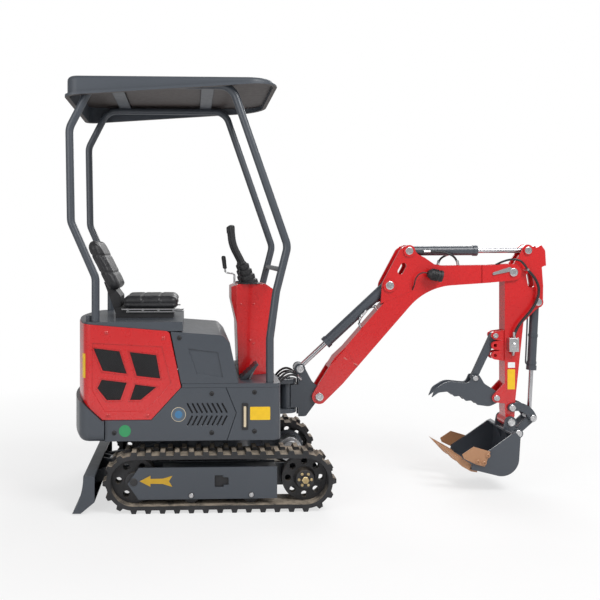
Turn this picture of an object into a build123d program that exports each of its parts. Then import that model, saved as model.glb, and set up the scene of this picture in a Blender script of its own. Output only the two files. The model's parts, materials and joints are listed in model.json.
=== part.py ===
"""A small tracked excavator with an open canopy, dozer blade, swinging boom, arm, bucket and thumb.

Millimetres, +Z up, +X towards the digging end, +Y to the operator's left hand.
Everything is drawn about the slewing axis on the ground and moved to the box centre at the end.
Side outlines are lists of X and Z, with a radius as a third value where a corner is round.
"""
from build123d import *
import os
from math import atan2, cos, degrees, hypot, pi, radians, sin, tan

# Overall sizes
machine_width = 930.0
track_length = 1220.0
track_height = 320.0
track_width = 180.0
lug_height = 18.0
lug_foot = 36.0
lug_slope = 72
lug_count = 36
lug_sink = 2.0
belt_thickness = 22.0

# Clearances
run_fit = 0.05
slide_gap = 0.3
side_play = 2.0
seam = 2.5
sink = 2.0

# Wheels and track frames
wheel_z = track_height / 2
wheel_x = track_length / 2 - wheel_z
belt_outer = wheel_z - lug_height
belt_inner = belt_outer - belt_thickness
track_mid = (machine_width - track_width) / 2
track_inside = machine_width / 2 - track_width
frame_outside = machine_width / 2 - 18.0
frame_inside = track_inside + 23.0
frame_sheet = 10.0
frame_low = 68.0
frame_high = 234.0
frame_front = 300.0
frame_tail = -424.0
frame_point = -482.0
beam_tail = -300.0
beam_low = 146.0
beam_drop = 6.0
motor_web = 60.0
key_x = 8.0
key_z = 161.0
key_wide = 46.0
key_tall = 62.0
key_tongue = 40.0
key_reach = 37.0
roller_z = 88.0
roller_spots = (-151.0, 164.0)
roller_radius = roller_z - lug_height - belt_thickness
roller_groove = 14.0
roller_out = 48.0
roller_in = 16.0
axle_radius = 20.0
axle_stub = 4.0
roller_axle = 14.0
idler_rim = 34.0
idler_hub = 46.0
idler_hole = 17.0
idler_ring = 82.0
idler_holes = 6
wheel_gap = 6.0
sprocket_thick = 40.0
sprocket_hub = 58.0
sprocket_step = 10.0
sprocket_hole = 16.0
sprocket_ring = 87.0
sprocket_holes = 8
hub_cap = 17.0
motor_radius = 72.0
motor_length = 120.0
motor_flange = 92.0
motor_cover = 54.0
motor_cover_length = 24.0

# Lower frame and slewing ring
deck_low = 369.0
base_low = deck_low + 3.0
base_sheet = 12.0
base_high = base_low + base_sheet
ring_low = 322.0
ring_outer = 195.0
ring_inner = 150.0
drum_radius = 188.0
leg_low = 130.0
leg_high = 226.0
leg_root = 150.0
leg_waist = 40.0
leg_rear = 105.0
leg_front = 285.0

# Dozer blade
blade_pivot = (-262.0, 185.0)
blade_back = -651.0
blade_top = 199.0
blade_tip = -766.0
blade_clear = 6.0
blade_crest = -709.0
blade_belly = (-724.0, 98.0)
blade_heel = 64.0
blade_edge = 44.0
blade_sheet = 12.0
blade_arm_mid = 175.0
blade_arm_thick = 30.0
blade_arm_low = 80.0
blade_arm_high = 150.0
blade_neck = 60.0
blade_neck_radius = 24.0
blade_boss = 28.0
blade_lug_thick = 16.0
blade_lug_radius = 32.0
blade_pin = 14.0
blade_pin_stub = 6.0
blade_base_pin = (-226.0, 262.0)
blade_eye_pin = (-604.0, 150.0)
blade_ear = 14.0
blade_barrel = 260.0

# Upper structure
deck_half = 430.0
deck_front = 323.0
tail_x = -778.0
tail_side = -707.0
deck_corner = 45.0
weight_outset = 18.0
weight_round = 40.0
wall = 10.0
frame_inset = 16.0
floor_top = 669.0
floor_sheet = 22.0
skirt_top = floor_top - floor_sheet
weight_seam = -602.0
hood_low = 482.0
hood_high_rear = 984.0
hood_high_front = 944.0
hood_tail = -719.0
hood_break = -721.0
hood_break_z = 581.0
hood_foot_rear = -615.0
hood_foot_front = -360.0
hood_tip = (-204.0, 651.0)
hood_shoulder = -266.0
hood_round = 24.0
hood_field = ((-668, 884), (-302, 864), (-256, 672), (-390, 526), (-602, 526), (-668, 637))
hood_press = 4.0
hood_vents = (((-662, 857), (-526, 840), (-488, 722), (-613, 739)),
              ((-473, 836), (-334, 819), (-313, 696), (-436, 711)),
              ((-618, 692), (-488, 675), (-521, 585), (-592, 585), (-641, 647)),
              ((-443, 666), (-334, 651), (-415, 585), (-471, 585)))
screen_sheet = 3.0
rear_seam = 235.0
cover_front_low = 36.0
cover_elbow = (85.0, 514.0)
cover_front_high = 31.0
louvre_first = -158.0
louvre_pitch = 26.0
louvre_count = 8
louvre_width = 8.0
louvre_length = 58.0
louvre_tilt = 28
louvre_rows = (540.0, 474.0)
platform_top = 993.0
platform_front = -195.0
platform_inset = 4.0
filler_spot = (-690.0, -355.0)
filler_radius = 19.0
filler_height = 30.0
floor_rear = -200.0
box_rear = -259.0
box_rear_high = 942.0
box_front_high = 922.0
box_corner = (15.0, 922.0, 40.0)
box_brow = (53.0, 881.0)
box_toe = 98.0
box_recess = ((-166, 852), (-10, 832), (15, 700), (-122, 720))
box_press = 6.0
rib_mid = 66.0
rib_sheet = 14.0
rib_rear = -240.0
rib_front = 235.0
side_rib = 200.0
side_rib_front = 60.0
nose_opening = 215.0
engine_low_box = (-588.0, -300.0, 210.0, 760.0)
engine_high_box = (-560.0, -340.0, 150.0, 900.0)

# Operator station
seat_half = 225.0
cushion_low = 1049.0
cushion_high = 1115.0
cushion_rear = -541.0
cushion_front = -209.0
cushion_corner = 45.0
cushion_edge = 18.0
seat_box_rear = -570.0
seat_box_front = -248.0
seat_box_half = 170.0
back_foot = (-560.0, 1130.0)
back_head = (-713.0, 1436.0)
back_thick = 76.0
back_half = 215.0
back_corner = 70.0
back_edge = 22.0
brace_half = 120.0
brace_line = ((-570, 1003), (-545, 1003), (-545, 1109), (-606, 1190), (-640, 1190))
console_half = 150.0
console_top = 1179.0
console_line = ((116, floor_top), (106, 960), (76, 1090), (76, console_top - 16), (120, console_top),
                (270, console_top), (322, console_top - 34), (318, 1010), (282, floor_top))
console_plan = ((60, 112), (106, 150), (212, 150), (330, 84))
stick_mid = 105.0
stick_foot = (179.0, 1179.0)
stick_head = (139.0, 1302.0)
stick_elbow = (88.0, 1400.0)
stick_tip = (77.0, 1506.0)
stick_radius = 17.0
stick_bend = 220.0
boot_folds = 4
boot_crest = 0.45
boot_valley = 0.7
boot_foot = 52.0
boot_neck = 25.0
boot_depth = 9.0
lever_spots = (-40.0, 40.0)
lever_route = ((100, 1150), (100, 1232), (48, 1240), (38, 1322))
lever_radius = 4.0
lever_bend = 12.0
lever_grip = 9.0
lever_grip_foot = (45.0, 1266.0)
pedal_mid = 250.0
pedal_half = 60.0
pedal_line = ((112, floor_top), (150, floor_top), (216, floor_top + 80), (206, floor_top + 86))

# Canopy
tube_radius = 21.0
tube_bend = 95.0
post_inset = 30.0
post_mid = deck_half - post_inset
roof_top = 2285.0
rail_drop = 44.0
rail_z = roof_top - rail_drop
rear_foot = -653.0
rear_knee = 1225.0
rear_hip = (-782.0, 1520.0)
rear_shoulder = (-790.0, rail_z - 231.0)
rail_rear = -672.0
rail_tail = -600.0
rail_nose = -20.0
rail_front = 65.0
front_hip = (361.0, 1390.0)
front_knee = (300.0, 1150.0)
front_foot = 266.0
front_foot_z = 900.0
cross_tube = 14.0
cross_spot = (329.0, 1265.0)
strap_spots = (-560.0, -60.0)
strap_wide = 70.0
strap_sheet = 8.0
roof_half = 455.0
roof_rear = -800.0
roof_front = 300.0
roof_skin = 9.0
roof_depth = 200.0
roof_rear_drop = 118.0
roof_front_drop = 34.0
roof_rear_corner = 60.0
roof_front_corner = 150.0
roof_round = 24.0
roof_lip = 14.0
roof_lip_drop = 30.0
roof_rib_spots = (-150.0, 150.0)
roof_rib_wide = 60.0
roof_rib_high = 6.0
roof_inside = roof_top - roof_rib_high - roof_skin

# Boom swing
king = (405.0, 0.0)
king_pin = 22.0
king_tube = 42.0
king_head = 8.0
nose_low = 430.0
nose_high = 600.0
nose_sheet = 25.0
nose_eye = 55.0
nose_root = 50.0
nose_root_half = 150.0
nose_root_wide = 20.0
nose_gap = 8.0
plate_gap = 1.0
post_in = 30.0
post_sheet = 16.0
post_out = post_in + post_sheet
post_crown = ((450, 672), (505, 690), (546, 613, 40), (600, 560))
post_skirt = ((600, 505), (572, 494, 60), (510, 411, 20))
post_brow = 640.0
post_boss = 31.0
foot_boss = 38.0
foot_tube = 34.0
web_in = 30.0
web_out = 24.0
swing_z = 516.0
swing_arm = 110.0
swing_ear = 28.0
swing_base = (-60.0, 190.0)
swing_post_radius = 30.0
swing_barrel = 300.0
swing_lug_in = 27.0
swing_lug_sheet = 14.0

# Digging end pins, as X and Z
foot = (586.0, 526.0)
boom_eye = (477.0, 684.0)
boom_base = (997.0, 1165.0)
arm_base = (1111.0, 1365.0)
arm_eye = (1815.0, 1368.0)
elbow = (1723.0, 1241.0)
bucket_base = (1874.0, 1066.0)
knee = (1839.0, 391.0)
rocker_pin = (1716.0, 452.0)
rocker_bow = (1792.0, 446.0)
bucket_pin = (1702.0, 372.0)
link_pin = (1745.0, 307.0)
thumb_pin = (1627.0, 508.0)
strut_top = (1626.0, 870.0)
strut_low = (1507.0, 622.0)
setting_drops = (0.0, 58.0, 116.0)
setting_hole = 10.0

# Digging end sections, as distances from the middle plane
fork_in = post_in + post_sheet + side_play
fork_sheet = 16.0
fork_out = fork_in + fork_sheet
boom_half = 50.0
bracket_in = 38.0
bracket_sheet = 14.0
bracket_out = bracket_in + bracket_sheet
arm_half = 43.0
ear_sheet = 14.0
ear_gap = arm_half - ear_sheet
tip_in = arm_half + side_play
tip_sheet = 12.0
tip_out = tip_in + tip_sheet
rocker_in = arm_half + side_play
rocker_sheet = 12.0
rocker_wide = 48.0
link_in = 28.0
link_sheet = 15.0
link_out = link_in + link_sheet
tip_tube = rocker_in + rocker_sheet
claw_in = tip_tube + side_play
claw_sheet = 14.0
claw_out = claw_in + claw_sheet
bucket_half = 190.0
bucket_wall = 10.0
joint_pin = 17.0
rocker_bore = 14.0
knee_bore = 15.0
head_radius = 26.0
head_thick = 8.0

# Boom outline
boom_line = ((720, 593), (1214, 1155, 360), (1592, 1180), (1592, 1283), (1151, 1278, 230), (737, 806),
             (678, 752), (641, 693))
bracket_line = ((945, 1060), (954, 1177, 60), (1056, 1368), (1082, 1392, 16), (1130, 1392, 16), (1162, 1346),
                (1203, 1326), (1258, 1288), (1330, 1276), (1330, 1200), (1120, 1130))
bracket_slot = (1070.0, 1262.0)
bracket_slot_long = 72.0
bracket_slot_wide = 34.0
bracket_slot_tilt = 62
fork_root = ((645, 700), (737, 800), (800, 690), (722, 600))
fork_boss = 42.0
base_boss = 38.0
arm_base_boss = 34.0
tip_root = ((1555, 1178), (1555, 1280), (1600, 1280), (1600, 1182))
tip_boss = 48.0
tip_step = ((1540, 1178), (1540, 1281), (1591, 1281), (1591, 1182))
lamp_at = (1208.0, 1236.0)
lamp_aim = -12
lamp_arm = 40.0
lamp_radius = 30.0
lamp_tail = 18.0
lamp_long = 84.0
lamp_rim = 4.0
lamp_rim_long = 12.0
lamp_stay = 9.0

# Arm outline
arm_line = ((1690, 1282), (1678, 1245, 30), (1678, 440), (1684, 372), (1720, 372), (1736, 400), (1738, 470),
            (1790, 960, 120), (1806, 1000, 60), (1806, 1120, 60), (1762, 1200, 40), (1762, 1250),
            (1740, 1282))
ear_line = ((1700, 1240), (1784, 1372), (1815, 1402), (1852, 1386), (1866, 1384), (1892, 1398),
            (1912, 1366, 24), (1914, 1278), (1898, 1270), (1906, 1160, 90), (1904, 1050), (1860, 1020),
            (1780, 940), (1740, 1000))
ear_hole = (1830.0, 1196.0)
ear_hole_long = 92.0
ear_hole_wide = 40.0
ear_hole_tilt = 100
eye_boss = 34.0
base_ear = 33.0
elbow_boss = 44.0
tip_boss_arm = 32.0
guard_line = ((1886, 1390), (1894, 1400), (1918, 1368, 30), (1923, 1278), (1910, 1278), (1905, 1358, 22))
thumb_ear = 26.0
thumb_bore = 12.0
thumb_ear_in = 39.0
thumb_ear_out = 51.0
thumb_ear_low = 32.0
thumb_ear_high = 91.0
setting_ear = 24.0
setting_ear_half = 32.0
setting_in = 22.0
setting_out = 34.0
arm_back = 1679.0
arm_core = 1684.0
valve_spot = (1690.0, 780.0)
valve_long = 58.0
valve_tall = 80.0
valve_deep = 38.0
tine_mid = 31.0
tine_sheet = 12.0
tine_line = ((1640, 480), (1640, 540), (1560, 590, 40), (1530, 640, 12), (1490, 640, 12), (1470, 592, 30),
             (1340, 606, 90), (1270, 562, 60), (1250, 512), (1290, 540, 40), (1345, 545, 30), (1384, 516),
             (1420, 520), (1450, 490), (1490, 492), (1520, 466), (1590, 456, 60))
tine_tie = (1400.0, 560.0)
tine_tie_radius = 14.0
thumb_pin_reach = 57.0
strut_half = 16.0
strut_radius = 20.0
strut_foot = 18.0
strut_pin_reach = 42.0

# Arm hose, as points with the bends' radius
hose_radius = 8.0
arm_hose_y = tip_out + hose_radius + wheel_gap
arm_hose_route = ((1800, 1256), (1872, 1190), (1862, 1060), (1722, 910), (1722, valve_spot[1] + valve_tall))
arm_hose_bend = 70.0

# Bucket outline
bucket_line = ((1659, 328), (1683, 338), (1709, 310), (1693, 67, 100), (1466, 124), (1427, 131), (1438, 180),
               (1543, 247, 60))
mouth_line = ((1660, 400), (1664, 316), (1548, 232), (1450, 168), (1440, 142), (1380, 142), (1300, 240),
              (1500, 400))
claw_root = ((1660, 330), (1684, 336), (1706, 310), (1702, 240))
link_root = ((1684, 336), (1706, 310), (1702, 220))
claw_boss = 33.0
link_boss = 26.0
tooth_line = ((1293, 238), (1380, 146), (1430, 118), (1466, 112), (1466, 124), (1427, 131), (1427, 140),
              (1452, 146), (1410, 172))
tooth_spots = (-150.0, 0.0, 150.0)
tooth_half = 24.0
cutter_line = ((1372, 220), (1438, 263), (1534, 234), (1501, 150), (1454, 162), (1382, 196))
cutter_sheet = 9.0

# Cylinders: barrel radius, rod radius, barrel length, rod overlap inside the barrel at the drawn pose
boom_cyl = (31.0, 15.0, 500.0, 300.0)
arm_cyl = (28.0, 15.0, 416.0, 166.0)
bucket_cyl = (25.0, 12.5, 402.0, 182.0)
swing_cyl = (27.0, 15.0, swing_barrel, 150.0)
blade_cyl = (28.0, 15.0, blade_barrel, 110.0)
gland_step = 4.0
gland_long = 26.0
eye_radius = 30.0
eye_half = 25.0

# Derived reaches
far = deck_half + machine_width / 8
far_tail = tail_x - machine_width / 8
ram_in = blade_cyl[0] + gland_step + side_play


def side(y):
    """The upright plane at one Y station, seen from the operator's right."""
    return Plane.XZ.offset(-y)


def slab(points, y_low, y_high):
    """A plate between two Y stations, its outline's corners square or round as the points say."""
    with BuildPart() as plate:
        with BuildSketch(side(y_high)) as face:
            with BuildLine():
                Polyline(*[point[:2] for point in points], close=True)
            make_face()
            for point in points:
                if len(point) == 3:
                    fillet(face.vertices().sort_by_distance(Vector(*point[:2]))[0], point[2])
        extrude(amount=y_high - y_low)
    return plate.part


def disc(at, radius, y_low, y_high):
    """A round boss, pin or hole across the machine."""
    with BuildPart() as boss:
        with BuildSketch(side(y_high)):
            with Locations(at):
                Circle(radius)
        extrude(amount=y_high - y_low)
    return boss.part


def strap(a, radius_a, b, radius_b, y_low, y_high):
    """A bar with round ends between two pins."""
    with BuildPart() as bar:
        with BuildSketch(side(y_high)):
            with Locations(a):
                Circle(radius_a)
            with Locations(b):
                Circle(radius_b)
            make_hull()
        extrude(amount=y_high - y_low)
    return bar.part


def gusset(at, radius, points, y_low, y_high):
    """A plate that runs from a round eye out to a straight-edged foot."""
    with BuildPart() as web:
        with BuildSketch(side(y_high)):
            with Locations(at):
                Circle(radius)
            with BuildLine():
                Polyline(*points, close=True)
            make_face()
            make_hull()
        extrude(amount=y_high - y_low)
    return web.part


def slot(at, length, width, tilt, half):
    """A long hole with round ends, right across the machine."""
    with BuildPart() as hole:
        with BuildSketch(side(half)):
            with Locations(at):
                SlotOverall(length, width, rotation=tilt)
        extrude(amount=2 * half)
    return hole.part


def block(x_low, x_high, y_low, y_high, z_low, z_high):
    """A plain box between its limits."""
    with BuildPart() as box:
        with BuildSketch(Plane.XY.offset(z_low)):
            with Locations(((x_low + x_high) / 2, (y_low + y_high) / 2)):
                Rectangle(x_high - x_low, y_high - y_low)
        extrude(amount=z_high - z_low)
    return box.part


def upright(at, radius, z_low, z_high):
    """A round upright boss, pin or hole."""
    with BuildPart() as column:
        with BuildSketch(Plane.XY.offset(z_low)):
            with Locations(at):
                Circle(radius)
        extrude(amount=z_high - z_low)
    return column.part


def twin(shape):
    """A piece and its mirror image on the other side of the machine."""
    return [shape, mirror(shape, about=Plane.XZ)]


def turned(origin, direction, cross, profile):
    """A body of revolution from (distance along, radius) pairs."""
    lathe = Plane(origin=origin, x_dir=direction, z_dir=cross)
    with BuildPart() as body:
        with BuildSketch(lathe):
            with BuildLine():
                Polyline((profile[0][0], 0), *profile, (profile[-1][0], 0), close=True)
            make_face()
        revolve(axis=Axis(origin, direction))
    return body.part


def lie(pin, y=0.0):
    """The point of an X and Z pair at one Y station."""
    return (pin[0], y, pin[1])


def tube(route, radius, bend):
    """A round bar or tube along straight runs, with true arcs of one radius at the corners."""
    points = [Vector(*point) for point in route]
    runs = [(b - a).normalized() for a, b in zip(points, points[1:])]
    with BuildPart() as pipe:
        start = points[0]
        for corner, before, after in zip(points[1:-1], runs, runs[1:]):
            turn = before.get_angle(after)
            cut = bend * tan(radians(turn) / 2)
            leave = corner - before * cut
            with BuildSketch(Plane(origin=start, z_dir=before)):
                Circle(radius)
            extrude(amount=(leave - start).length)
            inward = (after - before * before.dot(after)).normalized()
            with BuildSketch(Plane(origin=leave, z_dir=before)):
                Circle(radius)
            revolve(axis=Axis(leave + inward * bend, before.cross(after)), revolution_arc=turn)
            start = corner + after * cut
        with BuildSketch(Plane(origin=start, z_dir=runs[-1])):
            Circle(radius)
        extrude(amount=(points[-1] - start).length)
    return pipe.part


def barrel_part(base, eye, sizes, cross, half):
    """A cylinder tube with its pin eye and gland, bored for the rod."""
    tube_r, rod_r, length, overlap = sizes
    along = (Vector(*eye) - Vector(*base)).normalized()
    gland = tube_r + gland_step
    with BuildPart() as barrel:
        neck = length - gland_long
        add(turned(base, along, cross, [(0, tube_r), (neck, tube_r), (neck, gland), (length, gland)]))
        pivot = Plane(origin=base, x_dir=along, z_dir=cross)
        with BuildSketch(pivot.offset(-half)):
            Circle(eye_radius)
        extrude(amount=2 * half)
        deep = Plane(origin=Vector(*base) + along * (eye_radius + gland_long / 2), z_dir=along)
        with BuildSketch(deep):
            Circle(rod_r + run_fit)
        extrude(amount=length, mode=Mode.SUBTRACT)
    return barrel.part


def rod_part(base, eye, sizes, cross, half):
    """A cylinder rod with its pin eye."""
    tube_r, rod_r, length, overlap = sizes
    along = (Vector(*eye) - Vector(*base)).normalized()
    reach = (Vector(*eye) - Vector(*base)).length
    with BuildPart() as rod:
        start = Plane(origin=Vector(*base) + along * (length - overlap), z_dir=along)
        with BuildSketch(start):
            Circle(rod_r)
        extrude(amount=reach - length + overlap)
        pivot = Plane(origin=eye, x_dir=along, z_dir=cross)
        with BuildSketch(pivot.offset(-half)):
            Circle(eye_radius)
        extrude(amount=2 * half)
    return rod.part


def bored(pin, radius, half):
    """A hole right across the machine at a pin."""
    return disc(pin, radius, -half, half)


# Tracks
lap = 4 * wheel_x + 2 * pi * belt_outer


def lug_spot(travel):
    """Where a lug stands on the belt, by the distance travelled from the middle of the ground run."""
    travel = travel % lap
    bend = pi * belt_outer
    front, top, rear = wheel_x, wheel_x + bend, 3 * wheel_x + bend
    if travel < front or travel > rear + bend:
        middle = travel if travel < front else travel - lap
        angle = -90.0
    elif travel < top:
        middle = wheel_x
        angle = -90.0 + degrees((travel - front) / belt_outer)
    elif travel < rear:
        middle = wheel_x - (travel - top)
        angle = 90.0
    else:
        middle = -wheel_x
        angle = 90.0 + degrees((travel - rear) / belt_outer)
    reach = belt_outer - lug_sink
    way = (cos(radians(angle)), sin(radians(angle)))
    return Location((middle + reach * way[0], wheel_z + reach * way[1], 0), (0, 0, angle - 90))


def track_row(y_low, start):
    """Half the width of a track: the belt with one row of lugs."""
    with BuildPart() as row:
        with BuildSketch(side(y_low + track_width / 2)):
            with Locations((0, wheel_z)):
                SlotCenterToCenter(2 * wheel_x, 2 * belt_outer)
            for step in range(lug_count):
                with Locations(lug_spot(start + step * lap / lug_count)):
                    Trapezoid(lug_foot, lug_height + lug_sink, lug_slope, align=(Align.CENTER, Align.MIN))
            with Locations((0, wheel_z)):
                SlotCenterToCenter(2 * wheel_x, 2 * belt_inner, mode=Mode.SUBTRACT)
        extrude(amount=track_width / 2)
    return row.part


with BuildPart() as track_right:
    add(track_row(-track_mid - track_width / 2, 0.0))
    add(track_row(-track_mid, lap / lug_count / 2))

with BuildPart() as track_left:
    mirror(track_right.part, about=Plane.XZ)

# Track frames
frame_outline = [(frame_tail, frame_high), (frame_front, frame_high), (frame_front, frame_low),
                 (frame_tail, frame_low), (frame_point, (frame_low + frame_high) / 2)]
plate_edge = frame_inside + frame_sheet
plate_face = frame_outside - frame_sheet

with BuildPart() as track_frame_right:
    add(slab(frame_outline, -frame_outside, -plate_face))
    add(slab(frame_outline, -plate_edge, -frame_inside))
    add(disc((wheel_x, wheel_z), motor_flange, -plate_edge, -frame_inside))
    add(block(frame_front - motor_web, wheel_x, -plate_edge, -frame_inside,
              wheel_z - motor_web, wheel_z + motor_web))
    add(block(beam_tail, frame_front, -plate_face, -plate_edge, beam_low, frame_high - beam_drop))
    add(disc((wheel_x, wheel_z), sprocket_hub + side_play, -plate_edge, -frame_inside), mode=Mode.SUBTRACT)
    add(block(key_x - key_wide + wall, key_x + wall, -frame_outside, -plate_face,
              key_z - key_tall / 2, key_z + key_tall / 2), mode=Mode.SUBTRACT)
    add(block(key_x, key_x + key_reach, -frame_outside, -plate_face,
              key_z - key_tongue / 2, key_z + key_tongue / 2), mode=Mode.SUBTRACT)
    add(disc((-wheel_x, wheel_z), axle_radius, -frame_outside, -frame_inside), mode=Mode.SUBTRACT)
    for x in roller_spots:
        add(disc((x, roller_z), roller_axle, -frame_outside, -frame_inside), mode=Mode.SUBTRACT)

with BuildPart() as track_frame_left:
    mirror(track_frame_right.part, about=Plane.XZ)

# Sprockets, idlers and rollers
with BuildPart() as sprockets:
    hub_at = (wheel_x, -frame_inside, wheel_z)
    disc_in = track_mid - sprocket_thick / 2 - frame_inside
    disc_out = disc_in + sprocket_thick
    hub_out = frame_outside - frame_inside - wheel_gap - wheel_gap
    add(turned(hub_at, (0, -1, 0), (0, 0, 1),
               [(0, sprocket_hub), (disc_in, sprocket_hub), (disc_in, belt_inner), (disc_out, belt_inner),
                (disc_out, sprocket_hub), (hub_out, sprocket_hub - sprocket_step), (hub_out, hub_cap),
                (hub_out + sprocket_step, hub_cap)]))
    with BuildSketch(side(-track_mid + sprocket_thick)):
        with Locations((wheel_x, wheel_z)):
            with PolarLocations(sprocket_ring, sprocket_holes):
                Circle(sprocket_hole)
    extrude(amount=2 * sprocket_thick, mode=Mode.SUBTRACT)
    mirror(about=Plane.XZ)

with BuildPart() as idlers:
    add(disc((-wheel_x, wheel_z), belt_inner, -track_mid - idler_rim, -track_mid + idler_rim))
    with BuildSketch(side(-track_mid + idler_rim)):
        with Locations((-wheel_x, wheel_z)):
            with PolarLocations(idler_ring, idler_holes):
                Circle(idler_hole)
    extrude(amount=2 * idler_rim, mode=Mode.SUBTRACT)
    add(disc((-wheel_x, wheel_z), idler_hub, -plate_face + wheel_gap, -plate_edge - wheel_gap))
    add(disc((-wheel_x, wheel_z), axle_radius, -frame_outside - axle_stub, -frame_inside))
    mirror(about=Plane.XZ)

with BuildPart() as rollers:
    for x in roller_spots:
        add(disc((x, roller_z), roller_radius, -track_mid - roller_out, -track_mid - roller_in))
        add(disc((x, roller_z), roller_radius, -track_mid + roller_in, -track_mid + roller_out))
        groove = roller_radius - roller_groove
        add(disc((x, roller_z), groove, -track_mid - roller_in, -track_mid + roller_in))
        add(disc((x, roller_z), roller_axle, -frame_outside - axle_stub, -frame_inside))
    mirror(about=Plane.XZ)

with BuildPart() as travel_motors:
    motor_end = -frame_inside + motor_length
    add(twin(disc((wheel_x, wheel_z), motor_radius, -frame_inside, motor_end)))
    add(twin(disc((wheel_x, wheel_z), motor_cover, motor_end, motor_end + motor_cover_length)))

# Lower frame
leg_plan = [(0, 0), (leg_root, leg_waist), (leg_front, frame_inside), (leg_rear, frame_inside), (0, leg_root)]

with BuildPart() as lower_frame:
    for sign_x in (1, -1):
        for sign_y in (1, -1):
            with BuildSketch(Plane.XY.offset(leg_low)):
                with BuildLine():
                    Polyline(*[(sign_x * x, sign_y * y) for x, y in leg_plan], close=True)
                make_face()
            extrude(amount=leg_high - leg_low)
    add(upright((0, 0), drum_radius, leg_low, ring_low))
    lug_out = blade_arm_mid + blade_arm_thick / 2 + side_play
    lug_in = blade_arm_mid - blade_arm_thick / 2 - side_play
    root = -leg_rear - sink
    lug_root = [(root, leg_low + wall), (root, leg_high - sink), (root - leg_waist, leg_high - sink)]
    add(twin(gusset(blade_pivot, blade_lug_radius, lug_root, lug_out, lug_out + blade_lug_thick)))
    add(twin(gusset(blade_pivot, blade_lug_radius, lug_root, lug_in - blade_lug_thick, lug_in)))
    add(twin(disc(blade_pivot, blade_pin, lug_in - blade_lug_thick - blade_pin_stub,
                  lug_out + blade_lug_thick + blade_pin_stub)))
    drum_side = -drum_radius + leg_waist
    ram_out = ram_in + blade_ear
    ram_root = [(drum_side, leg_high), (drum_side, ring_low - sink), (-drum_radius + wall, ring_low - sink)]
    add(twin(gusset(blade_base_pin, blade_boss, ram_root, ram_in, ram_out)))
    add(disc(blade_base_pin, blade_pin, -ram_out - blade_pin_stub, ram_out + blade_pin_stub))

with BuildPart() as slew_ring:
    add(upright((0, 0), ring_outer, ring_low, base_low - slide_gap))
    add(upright((0, 0), ring_inner, ring_low, base_low - slide_gap), mode=Mode.SUBTRACT)

# Dozer blade, a curved sheet with a top flange and two end plates, open at the back
blade_half = machine_width / 2
heel_x = blade_tip + blade_edge
pocket_x = blade_back + sink
pocket_low = blade_clear + 2 * blade_sheet
pocket_top = blade_top - blade_sheet

with BuildPart() as blade:
    with BuildSketch(side(blade_half)) as wedge:
        with BuildLine():
            ThreePointArc((blade_crest, blade_top), blade_belly, (blade_tip, blade_clear))
            Polyline((blade_tip, blade_clear), (heel_x, blade_clear), (blade_back, blade_heel),
                     (blade_back, blade_top), (blade_crest, blade_top))
        make_face()
    extrude(amount=2 * blade_half)
    with BuildSketch(side(blade_half - blade_sheet)):
        with BuildLine():
            ThreePointArc((blade_crest + blade_sheet, pocket_top),
                          (blade_belly[0] + blade_sheet, blade_belly[1] - blade_sheet / 2),
                          (heel_x, pocket_low))
            Polyline((heel_x, pocket_low), (pocket_x, blade_heel + blade_sheet), (pocket_x, pocket_top),
                     (blade_crest + blade_sheet, pocket_top))
        make_face()
    extrude(amount=2 * blade_half - 2 * blade_sheet, mode=Mode.SUBTRACT)
    arm_low = blade_arm_mid - blade_arm_thick / 2
    root_x = blade_belly[0] + blade_sheet - sink
    neck = (blade_pivot[0] - blade_neck, blade_pivot[1])
    arm_shape = [(root_x, blade_arm_low), (root_x, blade_arm_high), (neck[0], neck[1] + blade_neck_radius),
                 (neck[0], neck[1] - blade_neck_radius)]
    add(twin(slab(arm_shape, arm_low, arm_low + blade_arm_thick)))
    add(twin(strap(neck, blade_neck_radius, blade_pivot, blade_boss, arm_low, arm_low + blade_arm_thick)))
    add(twin(disc(blade_pivot, blade_pin + run_fit, 0, blade_half)), mode=Mode.SUBTRACT)
    eye_root = [(root_x, blade_arm_low + wall), (root_x, pocket_top), (blade_back, pocket_top)]
    add(twin(gusset(blade_eye_pin, blade_boss, eye_root, ram_in, ram_in + blade_ear)))

with BuildPart() as blade_cylinder_barrel:
    add(barrel_part(lie(blade_base_pin), lie(blade_eye_pin), blade_cyl, (0, -1, 0), eye_half))
    add(bored(blade_base_pin, blade_pin + run_fit, machine_width), mode=Mode.SUBTRACT)

with BuildPart() as blade_cylinder_rod:
    add(rod_part(lie(blade_base_pin), lie(blade_eye_pin), blade_cyl, (0, -1, 0), eye_half))


# Upper structure
def deck_plan(inset):
    """The plan of the turntable body, drawn in by an even step."""
    with BuildSketch() as plan:
        half = deck_half - inset
        front = deck_front - inset
        with BuildLine():
            Line((front, -half), (front, half))
            Line((front, half), (tail_side + inset, half))
            ThreePointArc((tail_side + inset, half), (tail_x + inset, 0), (tail_side + inset, -half))
            Line((tail_side + inset, -half), (front, -half))
        make_face()
        fillet(plan.vertices(), deck_corner - inset)
    return plan.sketch


def tower(inset, z_low, z_high):
    """The plan of the turntable body drawn up between two heights."""
    with BuildPart() as stack:
        with BuildSketch(Plane.XY.offset(z_low)):
            add(deck_plan(inset))
        extrude(amount=z_high - z_low)
    return stack.part


def skin(points, y_low, y_high, thick=wall):
    """The part of the body's outer wall that lies behind a side outline."""
    with BuildPart() as panel:
        add(tower(0, deck_low, platform_top))
        add(tower(thick, deck_low - sink, platform_top + sink), mode=Mode.SUBTRACT)
        add(slab(points, y_low, y_high), mode=Mode.INTERSECT)
    return panel.part


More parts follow.
